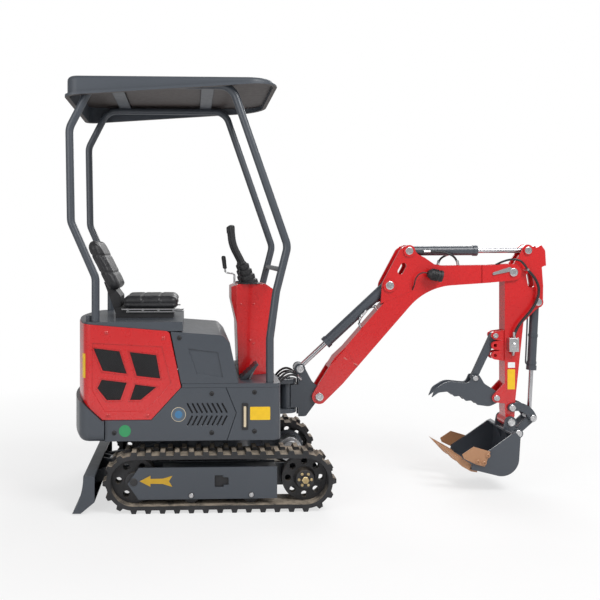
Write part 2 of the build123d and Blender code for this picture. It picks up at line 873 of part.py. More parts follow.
with BuildPart() as upper_frame:
    add(tower(frame_inset, base_low, base_high))
    add(upright((0, 0), ring_inner - 2 * run_fit, ring_low + floor_sheet, base_low))
    for y in (-rib_mid, rib_mid):
        add(block(rib_rear, rib_front, y - rib_sheet / 2, y + rib_sheet / 2, base_high, skirt_top))
    for z in (nose_low, nose_high):
        with BuildSketch(Plane.XY.offset(z)):
            with Locations(king):
                Circle(nose_eye)
            with Locations((nose_root, 0)):
                Rectangle(nose_root_wide, 2 * nose_root_half)
            make_hull()
        extrude(amount=nose_sheet)
    add(upright(king, king_pin, nose_low, nose_high + nose_sheet + king_head))
    add(block(rib_rear, side_rib_front, -side_rib, -side_rib + rib_sheet, base_high, skirt_top))
    ram_gap = swing_cyl[0] + side_play
    add(upright(swing_base, swing_post_radius, swing_z + ram_gap, skirt_top))
    add(upright(swing_base, swing_post_radius, base_high, swing_z - ram_gap))
    add(upright(swing_base, joint_pin, base_high, skirt_top))

weight_line = [(far_tail, deck_low), (weight_seam - seam, deck_low), (weight_seam - seam, hood_low - seam),
               (hood_foot_rear - seam, hood_low - seam), (hood_break - seam, hood_break_z - seam),
               (far_tail, hood_break_z - seam)]

with BuildPart() as counterweight:
    add(tower(-weight_outset, deck_low, platform_top))
    fillet(counterweight.faces().sort_by(Axis.Z)[0].edges().sort_by(Axis.X)[:-1], weight_round)
    add(slab(weight_line, -far, far), mode=Mode.INTERSECT)
    add(tower(wall + slide_gap, base_low - sink, base_high), mode=Mode.SUBTRACT)

hood_line = [(far_tail, hood_high_rear), (hood_tail, hood_high_rear),
             (hood_shoulder, hood_high_front, hood_round), hood_tip, (hood_foot_front, hood_low),
             (hood_foot_rear, hood_low), (hood_break, hood_break_z), (far_tail, hood_break_z)]


def grown(points, amount):
    """A plate outline let out evenly, standing across the right-hand wall from outside."""
    with BuildSketch() as face:
        with BuildLine():
            Polyline(*points, close=True)
        make_face()
        if amount:
            offset(amount=amount, kind=Kind.INTERSECTION)
    return face.sketch


def panel_cut(points, amount, y_low, y_high):
    """A prism across part of the right-hand wall, from an outline and an even growth."""
    with BuildPart() as prism:
        with BuildSketch(side(y_high)):
            add(grown(points, amount))
        extrude(amount=y_high - y_low)
    return prism.part


outer = -deck_half
inner = outer + wall

with BuildPart() as hood_side_right:
    add(skin(hood_line, -far, -rear_seam))
    add(panel_cut(hood_field, 0, outer, outer + hood_press), mode=Mode.SUBTRACT)
    for vent in hood_vents:
        add(panel_cut(vent, 0, outer, inner), mode=Mode.SUBTRACT)
        add(panel_cut(vent, seam, inner - screen_sheet, inner), mode=Mode.SUBTRACT)

with BuildPart() as hood_side_left:
    mirror(hood_side_right.part, about=Plane.XZ)

with BuildPart() as vent_screens:
    for vent in hood_vents:
        add(panel_cut(vent, seam, inner - screen_sheet, inner))
    mirror(about=Plane.XZ)

with BuildPart() as hood_rear:
    rear_line = [(far_tail, hood_high_rear), (hood_tail, hood_high_rear), (hood_tail, hood_break_z),
                 (far_tail, hood_break_z)]
    add(skin(rear_line, -rear_seam + seam, rear_seam - seam))

cover_line = [(weight_seam, deck_low), (cover_front_low, deck_low), cover_elbow,
              (cover_front_high, skirt_top), (hood_tip[0], skirt_top),
              (hood_foot_front + seam / 2, hood_low - seam), (weight_seam, hood_low - seam)]

with BuildPart() as side_cover_right:
    add(skin(cover_line, -far, 0))
    with BuildSketch(side(inner)):
        for row, tilt in zip(louvre_rows, (louvre_tilt, -louvre_tilt)):
            for step in range(louvre_count):
                with Locations((louvre_first + step * louvre_pitch, row)):
                    Rectangle(louvre_width, louvre_length, rotation=tilt)
    extrude(amount=wall, mode=Mode.SUBTRACT)

with BuildPart() as side_cover_left:
    mirror(side_cover_right.part, about=Plane.XZ)

corner_front = deck_front + wall
corner_line = [(cover_front_low + seam, deck_low), (corner_front, deck_low), (corner_front, skirt_top),
               (cover_front_high + seam, skirt_top), (cover_elbow[0] + seam, cover_elbow[1])]

with BuildPart() as front_cover_right:
    add(skin(corner_line, -far, -nose_opening))

with BuildPart() as front_cover_left:
    mirror(front_cover_right.part, about=Plane.XZ)

with BuildPart() as floor_plate:
    add(tower(0, skirt_top, floor_top))
    add(block(far_tail, floor_rear, -far, far, deck_low, platform_top), mode=Mode.SUBTRACT)

box_line = [(box_rear, box_rear_high), box_corner, box_brow, (box_toe, floor_top), (hood_tip[0], floor_top)]
box_hollow = [(hood_foot_front, box_rear_high - wall), (box_corner[0] - wall / 2, box_front_high - wall),
              (box_brow[0] - wall, box_brow[1] - wall / 2), (box_toe - wall - sink, floor_top),
              (box_toe - wall - sink, skirt_top), (hood_foot_front, skirt_top)]

with BuildPart() as seat_box:
    add(slab(box_line, -deck_half, deck_half))
    add(slab(box_hollow, -deck_half + wall, deck_half - wall), mode=Mode.SUBTRACT)
    add(twin(panel_cut(box_recess, 0, outer, outer + box_press)), mode=Mode.SUBTRACT)

platform_line = [(far_tail, hood_high_rear), (hood_tail, hood_high_rear), (hood_shoulder, hood_high_front),
                 (platform_front, hood_high_front), (platform_front, platform_top), (far_tail, platform_top)]

with BuildPart() as seat_platform:
    add(tower(platform_inset, deck_low, platform_top))
    add(slab(platform_line, -far, far), mode=Mode.INTERSECT)
    add(upright(filler_spot, filler_radius, platform_top - sink, platform_top + filler_height))

with BuildPart() as engine:
    low_rear, low_front, low_half, low_top = engine_low_box
    high_rear, high_front, high_half, high_top = engine_high_box
    add(block(low_rear, low_front, -low_half, low_half, base_high, low_top))
    add(block(high_rear, high_front, -high_half, high_half, low_top, high_top))

# Operator station
with BuildPart() as seat_base:
    add(block(seat_box_rear, seat_box_front, -seat_box_half, seat_box_half, platform_top, cushion_low))
    add(slab(brace_line, -brace_half, brace_half))

with BuildPart() as seat_cushion:
    add(block(cushion_rear, cushion_front, -seat_half, seat_half, cushion_low, cushion_high))
    fillet(seat_cushion.edges().filter_by(Axis.Z), cushion_corner)
    chamfer(seat_cushion.faces().sort_by(Axis.Z)[-1].edges(), cushion_edge)

lean = atan2(back_foot[0] - back_head[0], back_head[1] - back_foot[1])

with BuildPart() as seat_back:
    tall = hypot(back_head[0] - back_foot[0], back_head[1] - back_foot[1])
    with BuildSketch(Plane(origin=lie(back_foot), x_dir=(0, 1, 0), z_dir=(cos(lean), 0, sin(lean)))):
        with Locations((0, tall / 2)):
            RectangleRounded(2 * back_half, tall, back_corner)
    extrude(amount=back_thick / 2, both=True)
    chamfer(seat_back.faces().sort_by(Axis.X)[-1].edges(), back_edge)
    add(slab(brace_line, -brace_half, brace_half), mode=Mode.SUBTRACT)

with BuildPart() as console:
    add(slab(console_line, -console_half, console_half))
    with BuildSketch(Plane.XY.offset(floor_top)):
        with BuildLine():
            Polyline(*console_plan, *[(x, -y) for x, y in reversed(console_plan)], close=True)
        make_face()
    extrude(amount=console_top - floor_top, mode=Mode.INTERSECT)

stick_tilt = atan2(stick_head[1] - stick_foot[1], stick_head[0] - stick_foot[0])
stick_axis = (cos(stick_tilt), 0, sin(stick_tilt))
boot_tall = hypot(stick_head[0] - stick_foot[0], stick_head[1] - stick_foot[1])
stick_route = [stick_foot, stick_head, stick_elbow, stick_tip]
boot_line = []
for fold in range(boot_folds):
    crest = boot_foot + (boot_neck - boot_foot) * fold / boot_folds
    boot_line.append((boot_tall * fold / boot_folds, crest))
    boot_line.append((boot_tall * (fold + boot_crest) / boot_folds, crest))
    boot_line.append((boot_tall * (fold + boot_valley) / boot_folds, crest - boot_depth))
boot_line = [(-boot_foot / 2, boot_foot)] + boot_line[1:] + [(boot_tall, stick_radius + sink)]

with BuildPart() as joysticks:
    for y in (-stick_mid, stick_mid):
        add(turned(lie(stick_foot, y), stick_axis, (0, 1, 0), boot_line))
        add(tube([lie(point, y) for point in stick_route], stick_radius, stick_bend))
    boot_reach = 2 * boot_foot
    add(block(stick_foot[0] - boot_reach, stick_foot[0] + boot_reach, -2 * console_half, 2 * console_half,
              console_top - boot_reach, console_top), mode=Mode.SUBTRACT)

with BuildPart() as console_levers:
    for y in lever_spots:
        add(tube([lie(point, y) for point in lever_route], lever_radius, lever_bend))
        grip_way = Vector(*lie(lever_route[-1])) - Vector(*lie(lever_grip_foot))
        grip_long = grip_way.length
        add(turned(lie(lever_grip_foot, y), grip_way.normalized(), (0, 1, 0),
                   [(0, lever_grip - lever_radius), (lever_grip, lever_grip), (grip_long, lever_grip),
                    (grip_long + lever_grip, lever_radius)]))
    add(slab(console_line, -console_half, console_half), mode=Mode.SUBTRACT)

with BuildPart() as foot_pedals:
    for y in (-pedal_mid, pedal_mid):
        add(slab(pedal_line, y - pedal_half, y + pedal_half))

# Canopy
rear_route = [(rear_foot, platform_top), (rear_foot, rear_knee), rear_hip, rear_shoulder, (rail_rear, rail_z),
              (rail_tail, rail_z)]
front_route = [(rail_nose, rail_z), (rail_front, rail_z), front_hip, front_knee, (front_foot, front_foot_z),
               (front_foot, floor_top)]

with BuildPart() as canopy_rear_posts:
    for y in (-post_mid, post_mid):
        add(tube([lie(point, y) for point in rear_route], tube_radius, tube_bend))

with BuildPart() as canopy_front_posts:
    for y in (-post_mid, post_mid):
        add(tube([lie(point, y) for point in front_route], tube_radius, tube_bend))
    add(disc(cross_spot, cross_tube, -post_mid, post_mid))

with BuildPart() as canopy_rails:
    for y in (-post_mid, post_mid):
        with BuildSketch(Plane.YZ.offset(rail_tail)):
            with Locations((y, rail_z)):
                Circle(tube_radius)
        extrude(amount=rail_nose - rail_tail)
    strap_low = rail_z + tube_radius - strap_sheet
    for x in strap_spots:
        low, high = x - strap_wide / 2, x + strap_wide / 2
        add(block(low, high, -post_mid, post_mid, strap_low, rail_z + tube_radius))
        for y in (-post_mid, post_mid):
            add(block(low, high, y - strap_sheet, y + strap_sheet, rail_z, roof_inside))


def roof_plan(grow):
    """The plan of the roof, let out by an even step."""
    with BuildSketch() as plan:
        with Locations(((roof_rear + roof_front) / 2, 0)):
            Rectangle(roof_front - roof_rear + 2 * grow, 2 * roof_half + 2 * grow)
        fillet(plan.vertices().group_by(Axis.X)[0], roof_rear_corner + grow)
        fillet(plan.vertices().sort_by(Axis.X)[-2:], roof_front_corner + grow)
    return plan.sketch


def roof_core(grow, z_low, z_high):
    """The plan of the roof drawn up between two heights."""
    with BuildPart() as core:
        with BuildSketch(Plane.XY.offset(z_low)):
            add(roof_plan(grow))
        extrude(amount=z_high - z_low)
    return core.part


def roof_wedge(lift):
    """Everything above the roof's slanting lower edge, raised by a step."""
    past = 2 * roof_lip + roof_lip_drop
    low = roof_top + lift
    points = [(roof_rear - past, low - roof_rear_drop), (roof_front + past, low - roof_front_drop),
              (roof_front + past, roof_top + past), (roof_rear - past, roof_top + past)]
    return slab(points, -roof_half - past, roof_half + past)


def roof_band():
    """The band round the roof above its rolled lip."""
    with BuildPart() as band:
        add(roof_core(roof_lip + sink, roof_top - roof_depth, roof_top + roof_lip))
        add(roof_core(0, roof_top - roof_depth - sink, roof_top + roof_lip + sink), mode=Mode.SUBTRACT)
        add(roof_wedge(roof_lip), mode=Mode.INTERSECT)
    return band.part


with BuildPart() as canopy_roof:
    add(roof_core(0, roof_top - roof_depth, roof_top - roof_rib_high))
    fillet(canopy_roof.faces().sort_by(Axis.Z)[-1].edges(), roof_round)
    for y in roof_rib_spots:
        add(block(roof_rear + roof_front_corner, roof_front - roof_front_corner, y - roof_rib_wide,
                  y + roof_rib_wide, roof_top - roof_rib_high - sink, roof_top))
    add(roof_core(roof_lip, roof_top - roof_depth, roof_top - roof_lip_drop))
    add(roof_band(), mode=Mode.SUBTRACT)
    add(roof_wedge(0), mode=Mode.INTERSECT)
    add(roof_core(-roof_skin, roof_top - roof_depth - sink, roof_inside), mode=Mode.SUBTRACT)

# Boom swing post and its cylinder
tube_low = nose_low + nose_sheet + plate_gap
tube_high = nose_high - plate_gap
nose_clear = king[0] + nose_eye + nose_gap
plate_low = tube_low + wheel_gap
plate_high = tube_high - wheel_gap
plate_back = king[0] + web_out - wheel_gap

with BuildPart() as swing_post:
    add(upright(king, king_tube, tube_low, tube_high))
    plate = [(plate_back, plate_low), (plate_back, plate_high), (nose_clear, plate_high),
             (nose_clear, post_brow), *post_crown, *post_skirt, (nose_clear, post_skirt[-1][1]),
             (nose_clear, plate_low)]
    add(twin(slab(plate, post_in, post_out)))
    add(twin(disc(boom_eye, post_boss, post_in, post_out)))
    add(twin(disc(foot, foot_boss, post_in, post_out)))
    add(disc(foot, foot_tube, -post_in, post_in))
    add(block(king[0] + web_in, nose_clear + web_out, -post_in, post_in, plate_low, plate_high))
    add(twin(disc(boom_eye, head_radius, post_out, post_out + head_thick)))
    add(disc(foot, joint_pin, -fork_out - head_thick, fork_out + head_thick))
    for z in (swing_z + swing_lug_in, swing_z - swing_lug_in - swing_lug_sheet):
        with BuildSketch(Plane.XY.offset(z)):
            with Locations(king):
                Circle(king_tube)
            with Locations((king[0], swing_arm)):
                Circle(swing_ear)
            make_hull()
        extrude(amount=swing_lug_sheet)
    add(upright(king, king_pin + run_fit, nose_low, nose_high), mode=Mode.SUBTRACT)

swing_from = (swing_base[0], swing_base[1], swing_z)
swing_to = (king[0], swing_arm, swing_z)

with BuildPart() as swing_cylinder_barrel:
    add(barrel_part(swing_from, swing_to, swing_cyl, (0, 0, 1), eye_half))
    add(upright(swing_base, joint_pin + run_fit, base_high, floor_top), mode=Mode.SUBTRACT)

with BuildPart() as swing_cylinder_rod:
    add(rod_part(swing_from, swing_to, swing_cyl, (0, 0, 1), eye_half))

# Boom
with BuildPart() as boom:
    add(slab(boom_line, -boom_half, boom_half))
    add(twin(gusset(foot, fork_boss, fork_root, fork_in, fork_out)))
    add(twin(slab(bracket_line, bracket_in, bracket_out)))
    add(slot(bracket_slot, bracket_slot_long, bracket_slot_wide, bracket_slot_tilt, bracket_out),
        mode=Mode.SUBTRACT)
    add(twin(disc(boom_base, base_boss, bracket_in, bracket_out + head_thick)))
    add(twin(disc(arm_base, arm_base_boss, bracket_in, bracket_out + head_thick)))
    add(twin(gusset(elbow, tip_boss, tip_root, tip_in, tip_out)))
    add(twin(slab(tip_step, boom_half - wall, tip_out)))
    add(bored(foot, joint_pin + run_fit, fork_out + floor_sheet), mode=Mode.SUBTRACT)
    add(disc(boom_base, joint_pin, -bracket_in, bracket_in))
    add(disc(arm_base, joint_pin, -bracket_in, bracket_in))
    add(disc(elbow, joint_pin, -tip_out - head_thick, tip_out + head_thick))

with BuildPart() as work_lamp:
    lamp_y = -bracket_out - lamp_arm
    aim = (cos(radians(lamp_aim)), 0, sin(radians(lamp_aim)))
    rim_start = lamp_long - lamp_rim_long
    add(turned(lie(lamp_at, lamp_y), aim, (0, 1, 0),
               [(0, lamp_tail), (lamp_tail, lamp_radius), (rim_start, lamp_radius),
                (rim_start, lamp_radius + lamp_rim), (lamp_long, lamp_radius + lamp_rim)]))
    add(block(lamp_at[0] + lamp_tail, lamp_at[0] + lamp_tail + 2 * lamp_stay, lamp_y, -bracket_out,
              lamp_at[1] - 2 * lamp_stay, lamp_at[1]))

with BuildPart() as boom_cylinder_barrel:
    add(barrel_part(lie(boom_base), lie(boom_eye), boom_cyl, (0, -1, 0), bracket_in - side_play))
    add(bored(boom_base, joint_pin + run_fit, fork_out), mode=Mode.SUBTRACT)

with BuildPart() as boom_cylinder_rod:
    add(rod_part(lie(boom_base), lie(boom_eye), boom_cyl, (0, -1, 0), eye_half))

with BuildPart() as arm_cylinder_barrel:
    add(barrel_part(lie(arm_base), lie(arm_eye), arm_cyl, (0, -1, 0), bracket_in - side_play))
    add(bored(arm_base, joint_pin + run_fit, fork_out), mode=Mode.SUBTRACT)

with BuildPart() as arm_cylinder_rod:
    add(rod_part(lie(arm_base), lie(arm_eye), arm_cyl, (0, -1, 0), eye_half))


# Arm
with BuildPart() as arm:
    add(slab(arm_line, -arm_half, arm_half))
    add(twin(slab(ear_line, ear_gap, arm_half)))
    add(slab(guard_line, -arm_half, arm_half))
    add(slot(ear_hole, ear_hole_long, ear_hole_wide, ear_hole_tilt, arm_half), mode=Mode.SUBTRACT)
    add(twin(disc(arm_eye, eye_boss, ear_gap, arm_half)))
    add(twin(disc(bucket_base, base_ear, ear_gap, arm_half)))
    add(disc(elbow, elbow_boss, -arm_half, arm_half))
    add(disc(bucket_pin, tip_boss_arm, -tip_tube, tip_tube))
    add(twin(disc(arm_eye, head_radius, arm_half, arm_half + head_thick)))
    add(twin(disc(bucket_base, head_radius, arm_half, arm_half + head_thick)))
    add(disc(bucket_base, joint_pin, -arm_half, arm_half))
    root_low, root_high = thumb_pin[1] - thumb_ear_low, thumb_pin[1] + thumb_ear_high
    thumb_root = [(arm_back, root_low), (arm_back, root_high), (arm_core, root_high), (arm_core, root_low)]
    add(twin(gusset(thumb_pin, thumb_ear, thumb_root, thumb_ear_in, thumb_ear_out)))
    for drop in setting_drops:
        hole = (strut_top[0], strut_top[1] - drop)
        ear_root = [(arm_back, hole[1] - setting_ear_half), (arm_back, hole[1] + setting_ear_half),
                    (arm_core, hole[1])]
        add(twin(gusset(hole, setting_ear, ear_root, setting_in, setting_out)))
    add(bored(elbow, joint_pin + run_fit, arm_half + floor_sheet), mode=Mode.SUBTRACT)
    add(bored(thumb_pin, thumb_bore, fork_out), mode=Mode.SUBTRACT)
    for drop in setting_drops:
        add(bored((strut_top[0], strut_top[1] - drop), setting_hole, fork_out), mode=Mode.SUBTRACT)
    add(disc(bucket_pin, joint_pin, -claw_out - head_thick, claw_out + head_thick))
    add(disc(rocker_pin, rocker_bore, -tip_tube - head_thick, tip_tube + head_thick))

with BuildPart() as valve_block:
    add(block(valve_spot[0], valve_spot[0] + valve_long, -arm_half - valve_deep, -arm_half, valve_spot[1],
              valve_spot[1] + valve_tall))

with BuildPart() as arm_hose:
    add(tube([lie(point, -arm_hose_y) for point in arm_hose_route], hose_radius, arm_hose_bend))
    add(disc(arm_hose_route[0], hose_radius + sink, -arm_hose_y - hose_radius, -arm_half))

with BuildPart() as thumb:
    for y in (-tine_mid, tine_mid):
        add(slab(tine_line, y - tine_sheet / 2, y + tine_sheet / 2))
    tine_out = tine_mid + tine_sheet / 2
    add(disc(thumb_pin, thumb_ear, -tine_out, tine_out))
    add(disc(tine_tie, tine_tie_radius, -tine_mid, tine_mid))
    add(disc(thumb_pin, thumb_bore, -thumb_pin_reach, thumb_pin_reach))
    add(bored(strut_low, setting_hole, tine_out + wall), mode=Mode.SUBTRACT)

with BuildPart() as thumb_strut:
    add(strap(strut_top, strut_radius, strut_low, strut_foot, -strut_half, strut_half))
    add(disc(strut_top, setting_hole, -strut_pin_reach, strut_pin_reach))
    add(disc(strut_low, setting_hole, -strut_pin_reach, strut_pin_reach))
    add(twin(disc(strut_low, strut_half, strut_half, tine_mid - tine_sheet / 2)))

with BuildPart() as bucket_cylinder_barrel:
    add(barrel_part(lie(bucket_base), lie(knee), bucket_cyl, (0, -1, 0), ear_gap - side_play))
    add(bored(bucket_base, joint_pin + run_fit, fork_out), mode=Mode.SUBTRACT)

with BuildPart() as bucket_cylinder_rod:
    add(rod_part(lie(bucket_base), lie(knee), bucket_cyl, (0, -1, 0), eye_half))

# Bucket linkage
with BuildPart() as rocker_links:
    bow = Edge.make_three_point_arc(Vector(*rocker_pin), Vector(*rocker_bow), Vector(*knee))
    with BuildSketch(side(tip_tube)):
        SlotArc(bow, rocker_wide)
    extrude(amount=rocker_sheet)
    mirror(about=Plane.XZ)
    add(twin(disc(knee, knee_bore, link_in, tip_tube + head_thick)))
    add(bored(rocker_pin, rocker_bore + run_fit, fork_out + floor_sheet), mode=Mode.SUBTRACT)

with BuildPart() as bucket_link:
    add(twin(strap(knee, rocker_wide / 2, link_pin, link_boss - 2 * side_play, link_in, link_out)))
    add(bored(knee, knee_bore + run_fit, fork_out), mode=Mode.SUBTRACT)
    add(disc(link_pin, rocker_bore, -tip_tube, tip_tube))

# Bucket
with BuildPart() as bucket:
    with BuildSketch(side(bucket_half)) as wrap:
        with BuildLine():
            Polyline(*[point[:2] for point in bucket_line], close=True)
        make_face()
        for point in bucket_line:
            if len(point) == 3:
                fillet(wrap.vertices().sort_by_distance(Vector(*point[:2]))[0], point[2])
        offset(wrap.sketch, amount=-bucket_wall, kind=Kind.INTERSECTION, mode=Mode.SUBTRACT)
    extrude(amount=2 * bucket_half)
    add(slab(mouth_line, -bucket_half, bucket_half), mode=Mode.SUBTRACT)
    add(twin(slab(bucket_line, bucket_half - bucket_wall, bucket_half)))
    add(twin(gusset(bucket_pin, claw_boss, claw_root, claw_in, claw_out)))
    add(twin(gusset(link_pin, link_boss, link_root, claw_in, claw_out)))
    add(twin(disc(link_pin, head_radius, claw_out, claw_out + head_thick)))
    add(bored(bucket_pin, joint_pin + run_fit, claw_out + floor_sheet), mode=Mode.SUBTRACT)

with BuildPart() as bucket_teeth:
    for y in tooth_spots:
        add(slab(tooth_line, y - tooth_half, y + tooth_half))
    add(slab(bucket_line, -bucket_half, bucket_half), mode=Mode.SUBTRACT)

with BuildPart() as side_cutters:
    add(twin(slab(cutter_line, bucket_half, bucket_half + cutter_sheet)))

# Export, with the box centre of the whole machine over the origin
pieces = {
    "track_right": track_right, "track_left": track_left,
    "track_frame_right": track_frame_right, "track_frame_left": track_frame_left,
    "sprockets": sprockets, "idlers": idlers, "rollers": rollers,
    "travel_motors": travel_motors, "lower_frame": lower_frame, "slew_ring": slew_ring,
    "blade": blade, "blade_cylinder_barrel": blade_cylinder_barrel, "blade_cylinder_rod": blade_cylinder_rod,
    "upper_frame": upper_frame, "counterweight": counterweight,
    "hood_side_right": hood_side_right, "hood_side_left": hood_side_left, "hood_rear": hood_rear,
    "vent_screens": vent_screens,
    "side_cover_right": side_cover_right, "side_cover_left": side_cover_left,
    "front_cover_right": front_cover_right, "front_cover_left": front_cover_left,
    "floor_plate": floor_plate, "seat_box": seat_box, "seat_platform": seat_platform, "engine": engine,
    "seat_base": seat_base, "seat_cushion": seat_cushion, "seat_back": seat_back,
    "console": console, "joysticks": joysticks, "console_levers": console_levers, "foot_pedals": foot_pedals,
    "canopy_rear_posts": canopy_rear_posts, "canopy_front_posts": canopy_front_posts,
    "canopy_rails": canopy_rails, "canopy_roof": canopy_roof,
    "swing_post": swing_post, "swing_cylinder_barrel": swing_cylinder_barrel,
    "swing_cylinder_rod": swing_cylinder_rod,
    "boom": boom, "work_lamp": work_lamp,
    "boom_cylinder_barrel": boom_cylinder_barrel, "boom_cylinder_rod": boom_cylinder_rod,
    "arm_cylinder_barrel": arm_cylinder_barrel, "arm_cylinder_rod": arm_cylinder_rod,
    "arm": arm, "arm_hose": arm_hose, "valve_block": valve_block, "thumb": thumb, "thumb_strut": thumb_strut,
    "bucket_cylinder_barrel": bucket_cylinder_barrel, "bucket_cylinder_rod": bucket_cylinder_rod,
    "rocker_links": rocker_links, "bucket_link": bucket_link,
    "bucket": bucket, "bucket_teeth": bucket_teeth, "side_cutters": side_cutters,
}
boxes = [piece.part.bounding_box() for piece in pieces.values()]
shift_x = -(min(box.min.X for box in boxes) + max(box.max.X for box in boxes)) / 2

os.makedirs("parts", exist_ok=True)
for label, piece in pieces.items():
    piece.part.label = label
    export_step(piece.part.moved(Location((shift_x, 0, 0))), "parts/" + label + ".step")
print("shift_x", round(shift_x, 3), "pieces", len(pieces))
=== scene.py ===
"""Dress a small tracked excavator: soft-edged skins, finishes, fittings, hoses, seat, studio and camera."""
import json
from math import cos, exp, pi, radians, sin

import bmesh
import bpy
from mathutils import Matrix, Vector
from mathutils.bvhtree import BVHTree


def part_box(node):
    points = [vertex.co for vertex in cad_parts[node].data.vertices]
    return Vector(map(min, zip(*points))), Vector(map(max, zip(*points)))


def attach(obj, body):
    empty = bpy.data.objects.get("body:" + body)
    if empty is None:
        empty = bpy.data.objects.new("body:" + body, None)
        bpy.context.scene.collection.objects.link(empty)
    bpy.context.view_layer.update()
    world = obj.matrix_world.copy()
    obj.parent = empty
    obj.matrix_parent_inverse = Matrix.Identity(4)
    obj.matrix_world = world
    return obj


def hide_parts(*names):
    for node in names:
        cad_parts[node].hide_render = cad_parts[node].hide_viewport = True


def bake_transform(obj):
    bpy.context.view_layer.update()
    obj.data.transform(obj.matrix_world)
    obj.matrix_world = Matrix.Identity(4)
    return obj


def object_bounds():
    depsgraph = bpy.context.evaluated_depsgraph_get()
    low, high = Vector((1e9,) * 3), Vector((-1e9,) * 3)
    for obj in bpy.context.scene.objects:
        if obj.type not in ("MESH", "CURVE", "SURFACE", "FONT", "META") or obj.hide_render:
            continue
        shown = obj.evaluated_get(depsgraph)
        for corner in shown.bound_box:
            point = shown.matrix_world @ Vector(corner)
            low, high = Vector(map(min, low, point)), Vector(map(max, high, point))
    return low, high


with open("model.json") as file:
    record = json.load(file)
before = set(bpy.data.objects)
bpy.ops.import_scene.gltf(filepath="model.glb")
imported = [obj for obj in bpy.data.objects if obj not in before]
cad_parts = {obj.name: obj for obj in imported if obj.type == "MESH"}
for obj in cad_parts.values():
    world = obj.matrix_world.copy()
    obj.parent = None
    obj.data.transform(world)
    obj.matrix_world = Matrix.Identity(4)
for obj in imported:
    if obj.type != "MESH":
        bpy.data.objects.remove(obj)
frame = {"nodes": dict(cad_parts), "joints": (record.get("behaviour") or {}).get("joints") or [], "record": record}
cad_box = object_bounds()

bl_info = {
    "name": "Tracked excavator dressing",
    "version": (1, 0, 0),
    "blender": (4, 5, 0),
    "location": "View3D > Sidebar > Excavator",
    "description": "Finishes and fittings for a small tracked excavator",
    "category": "Object",
}

slots = {part["node"]: part["material_slot"] for part in frame["record"]["subparts"]}
body_of = {node: body for body, nodes in frame["record"]["behaviour"]["bodies"].items() for node in nodes}
pins = {joint["name"]: Vector(joint["pos_m"]) for joint in frame["joints"] if "pos_m" in joint}
slew_x = pins["slew"].x
RIGHT = Vector((0, -1, 0))
LEFT = Vector((0, 1, 0))
UP = Vector((0, 0, 1))


def spot(x, y, z):
    """A point given from the slewing axis on the ground, in metres."""
    return Vector((slew_x + x, y, z))


def paint_colour(name, description, default):
    """A setting for a colour."""
    return bpy.props.FloatVectorProperty(
        name=name, description=description, subtype="COLOR", default=default, min=0, max=1)


def measure(name, description, default):
    """A setting for a length in metres."""
    return bpy.props.FloatProperty(name=name, description=description, unit="LENGTH", default=default)


class ExcavatorPaint(bpy.types.PropertyGroup):
    """Colours of the paints and plastics."""
    red: paint_colour("Red paint", "Hood, console, boom and arm", (0.56, 0.008, 0.010))
    slate: paint_colour("Slate paint", "Covers, roof, cylinders and undercarriage", (0.052, 0.061, 0.075))
    # A darker brown that the roof's downward-facing faces take
    underside_tone: paint_colour("Roof liner", "Underside of the roof", (0.040, 0.030, 0.028))
    rubber: paint_colour("Rubber", "Tracks, wheels and rollers", (0.022, 0.022, 0.024))
    # The dust colour also stands for a painted highlight on the upper faces of the tracks and wheels, along with
    # their real dirt
    dust: paint_colour("Dust", "Dust on the paint and dry soil on the tracks", (0.42, 0.35, 0.27))
    plastic: paint_colour("Plastic", "Grips, screens, hoses and seat", (0.014, 0.014, 0.016))
    tan: paint_colour("Tan paint", "Teeth and side cutters", (0.40, 0.205, 0.105))
    yellow: paint_colour("Yellow", "Blank yellow plates", (0.80, 0.50, 0.012))


class ExcavatorView(bpy.types.PropertyGroup):
    """Place and lens of the camera."""
    stand: bpy.props.FloatVectorProperty(
        name="Camera place", description="From the slewing axis on the ground", subtype="TRANSLATION",
        unit="LENGTH", default=(-0.158, -4.545, 1.370))
    yaw: bpy.props.FloatProperty(
        name="Camera yaw", description="Turn of the camera towards the bucket", subtype="ANGLE",
        default=radians(2.35))
    lens: bpy.props.FloatProperty(name="Lens", description="Focal length in millimetres", default=47.04)
    shift: bpy.props.FloatVectorProperty(
        name="Camera shift", description="Share of the frame", size=2, default=(0.13, -0.0833))


class ExcavatorEdges(bpy.types.PropertyGroup):
    """Rounding of the skins and sizes of the small fittings."""
    heavy: measure("Heavy plate", "Edge rounding of thick plates", 0.0024)
    fine: measure("Sheet", "Edge rounding of the hood's sides and of plastic parts", 0.001)
    bolt: measure("Cover bolt", "Radius of a cover bolt's head", 0.0125)
    mesh: measure("Screen pitch", "Distance between the wires of the hood's screens", 0.0085)
    hose: measure("Hose radius", "Radius of the hydraulic hoses", 0.0062)


class ExcavatorSeat(bpy.types.PropertyGroup):
    """Padding of the seat."""
    voxel: measure("Voxel", "Mesh size of the padding", 0.006)
    start: measure("Draw in", "How far the pad starts inside its outline", 0.007)
    swell: measure("Swell", "Furthest that the padding may swell", 0.010)
    seam: measure("Seam depth", "Depth of the sewn channels", 0.0045)


def settings(group):
    """One of the property groups on the scene."""
    return getattr(bpy.context.scene, "excavator_" + group)


# Node materials: the range of a cloudy pattern that counts, and the depth of a fine relief
cloud = (0.3, 0.7)
fine_relief = 0.0002


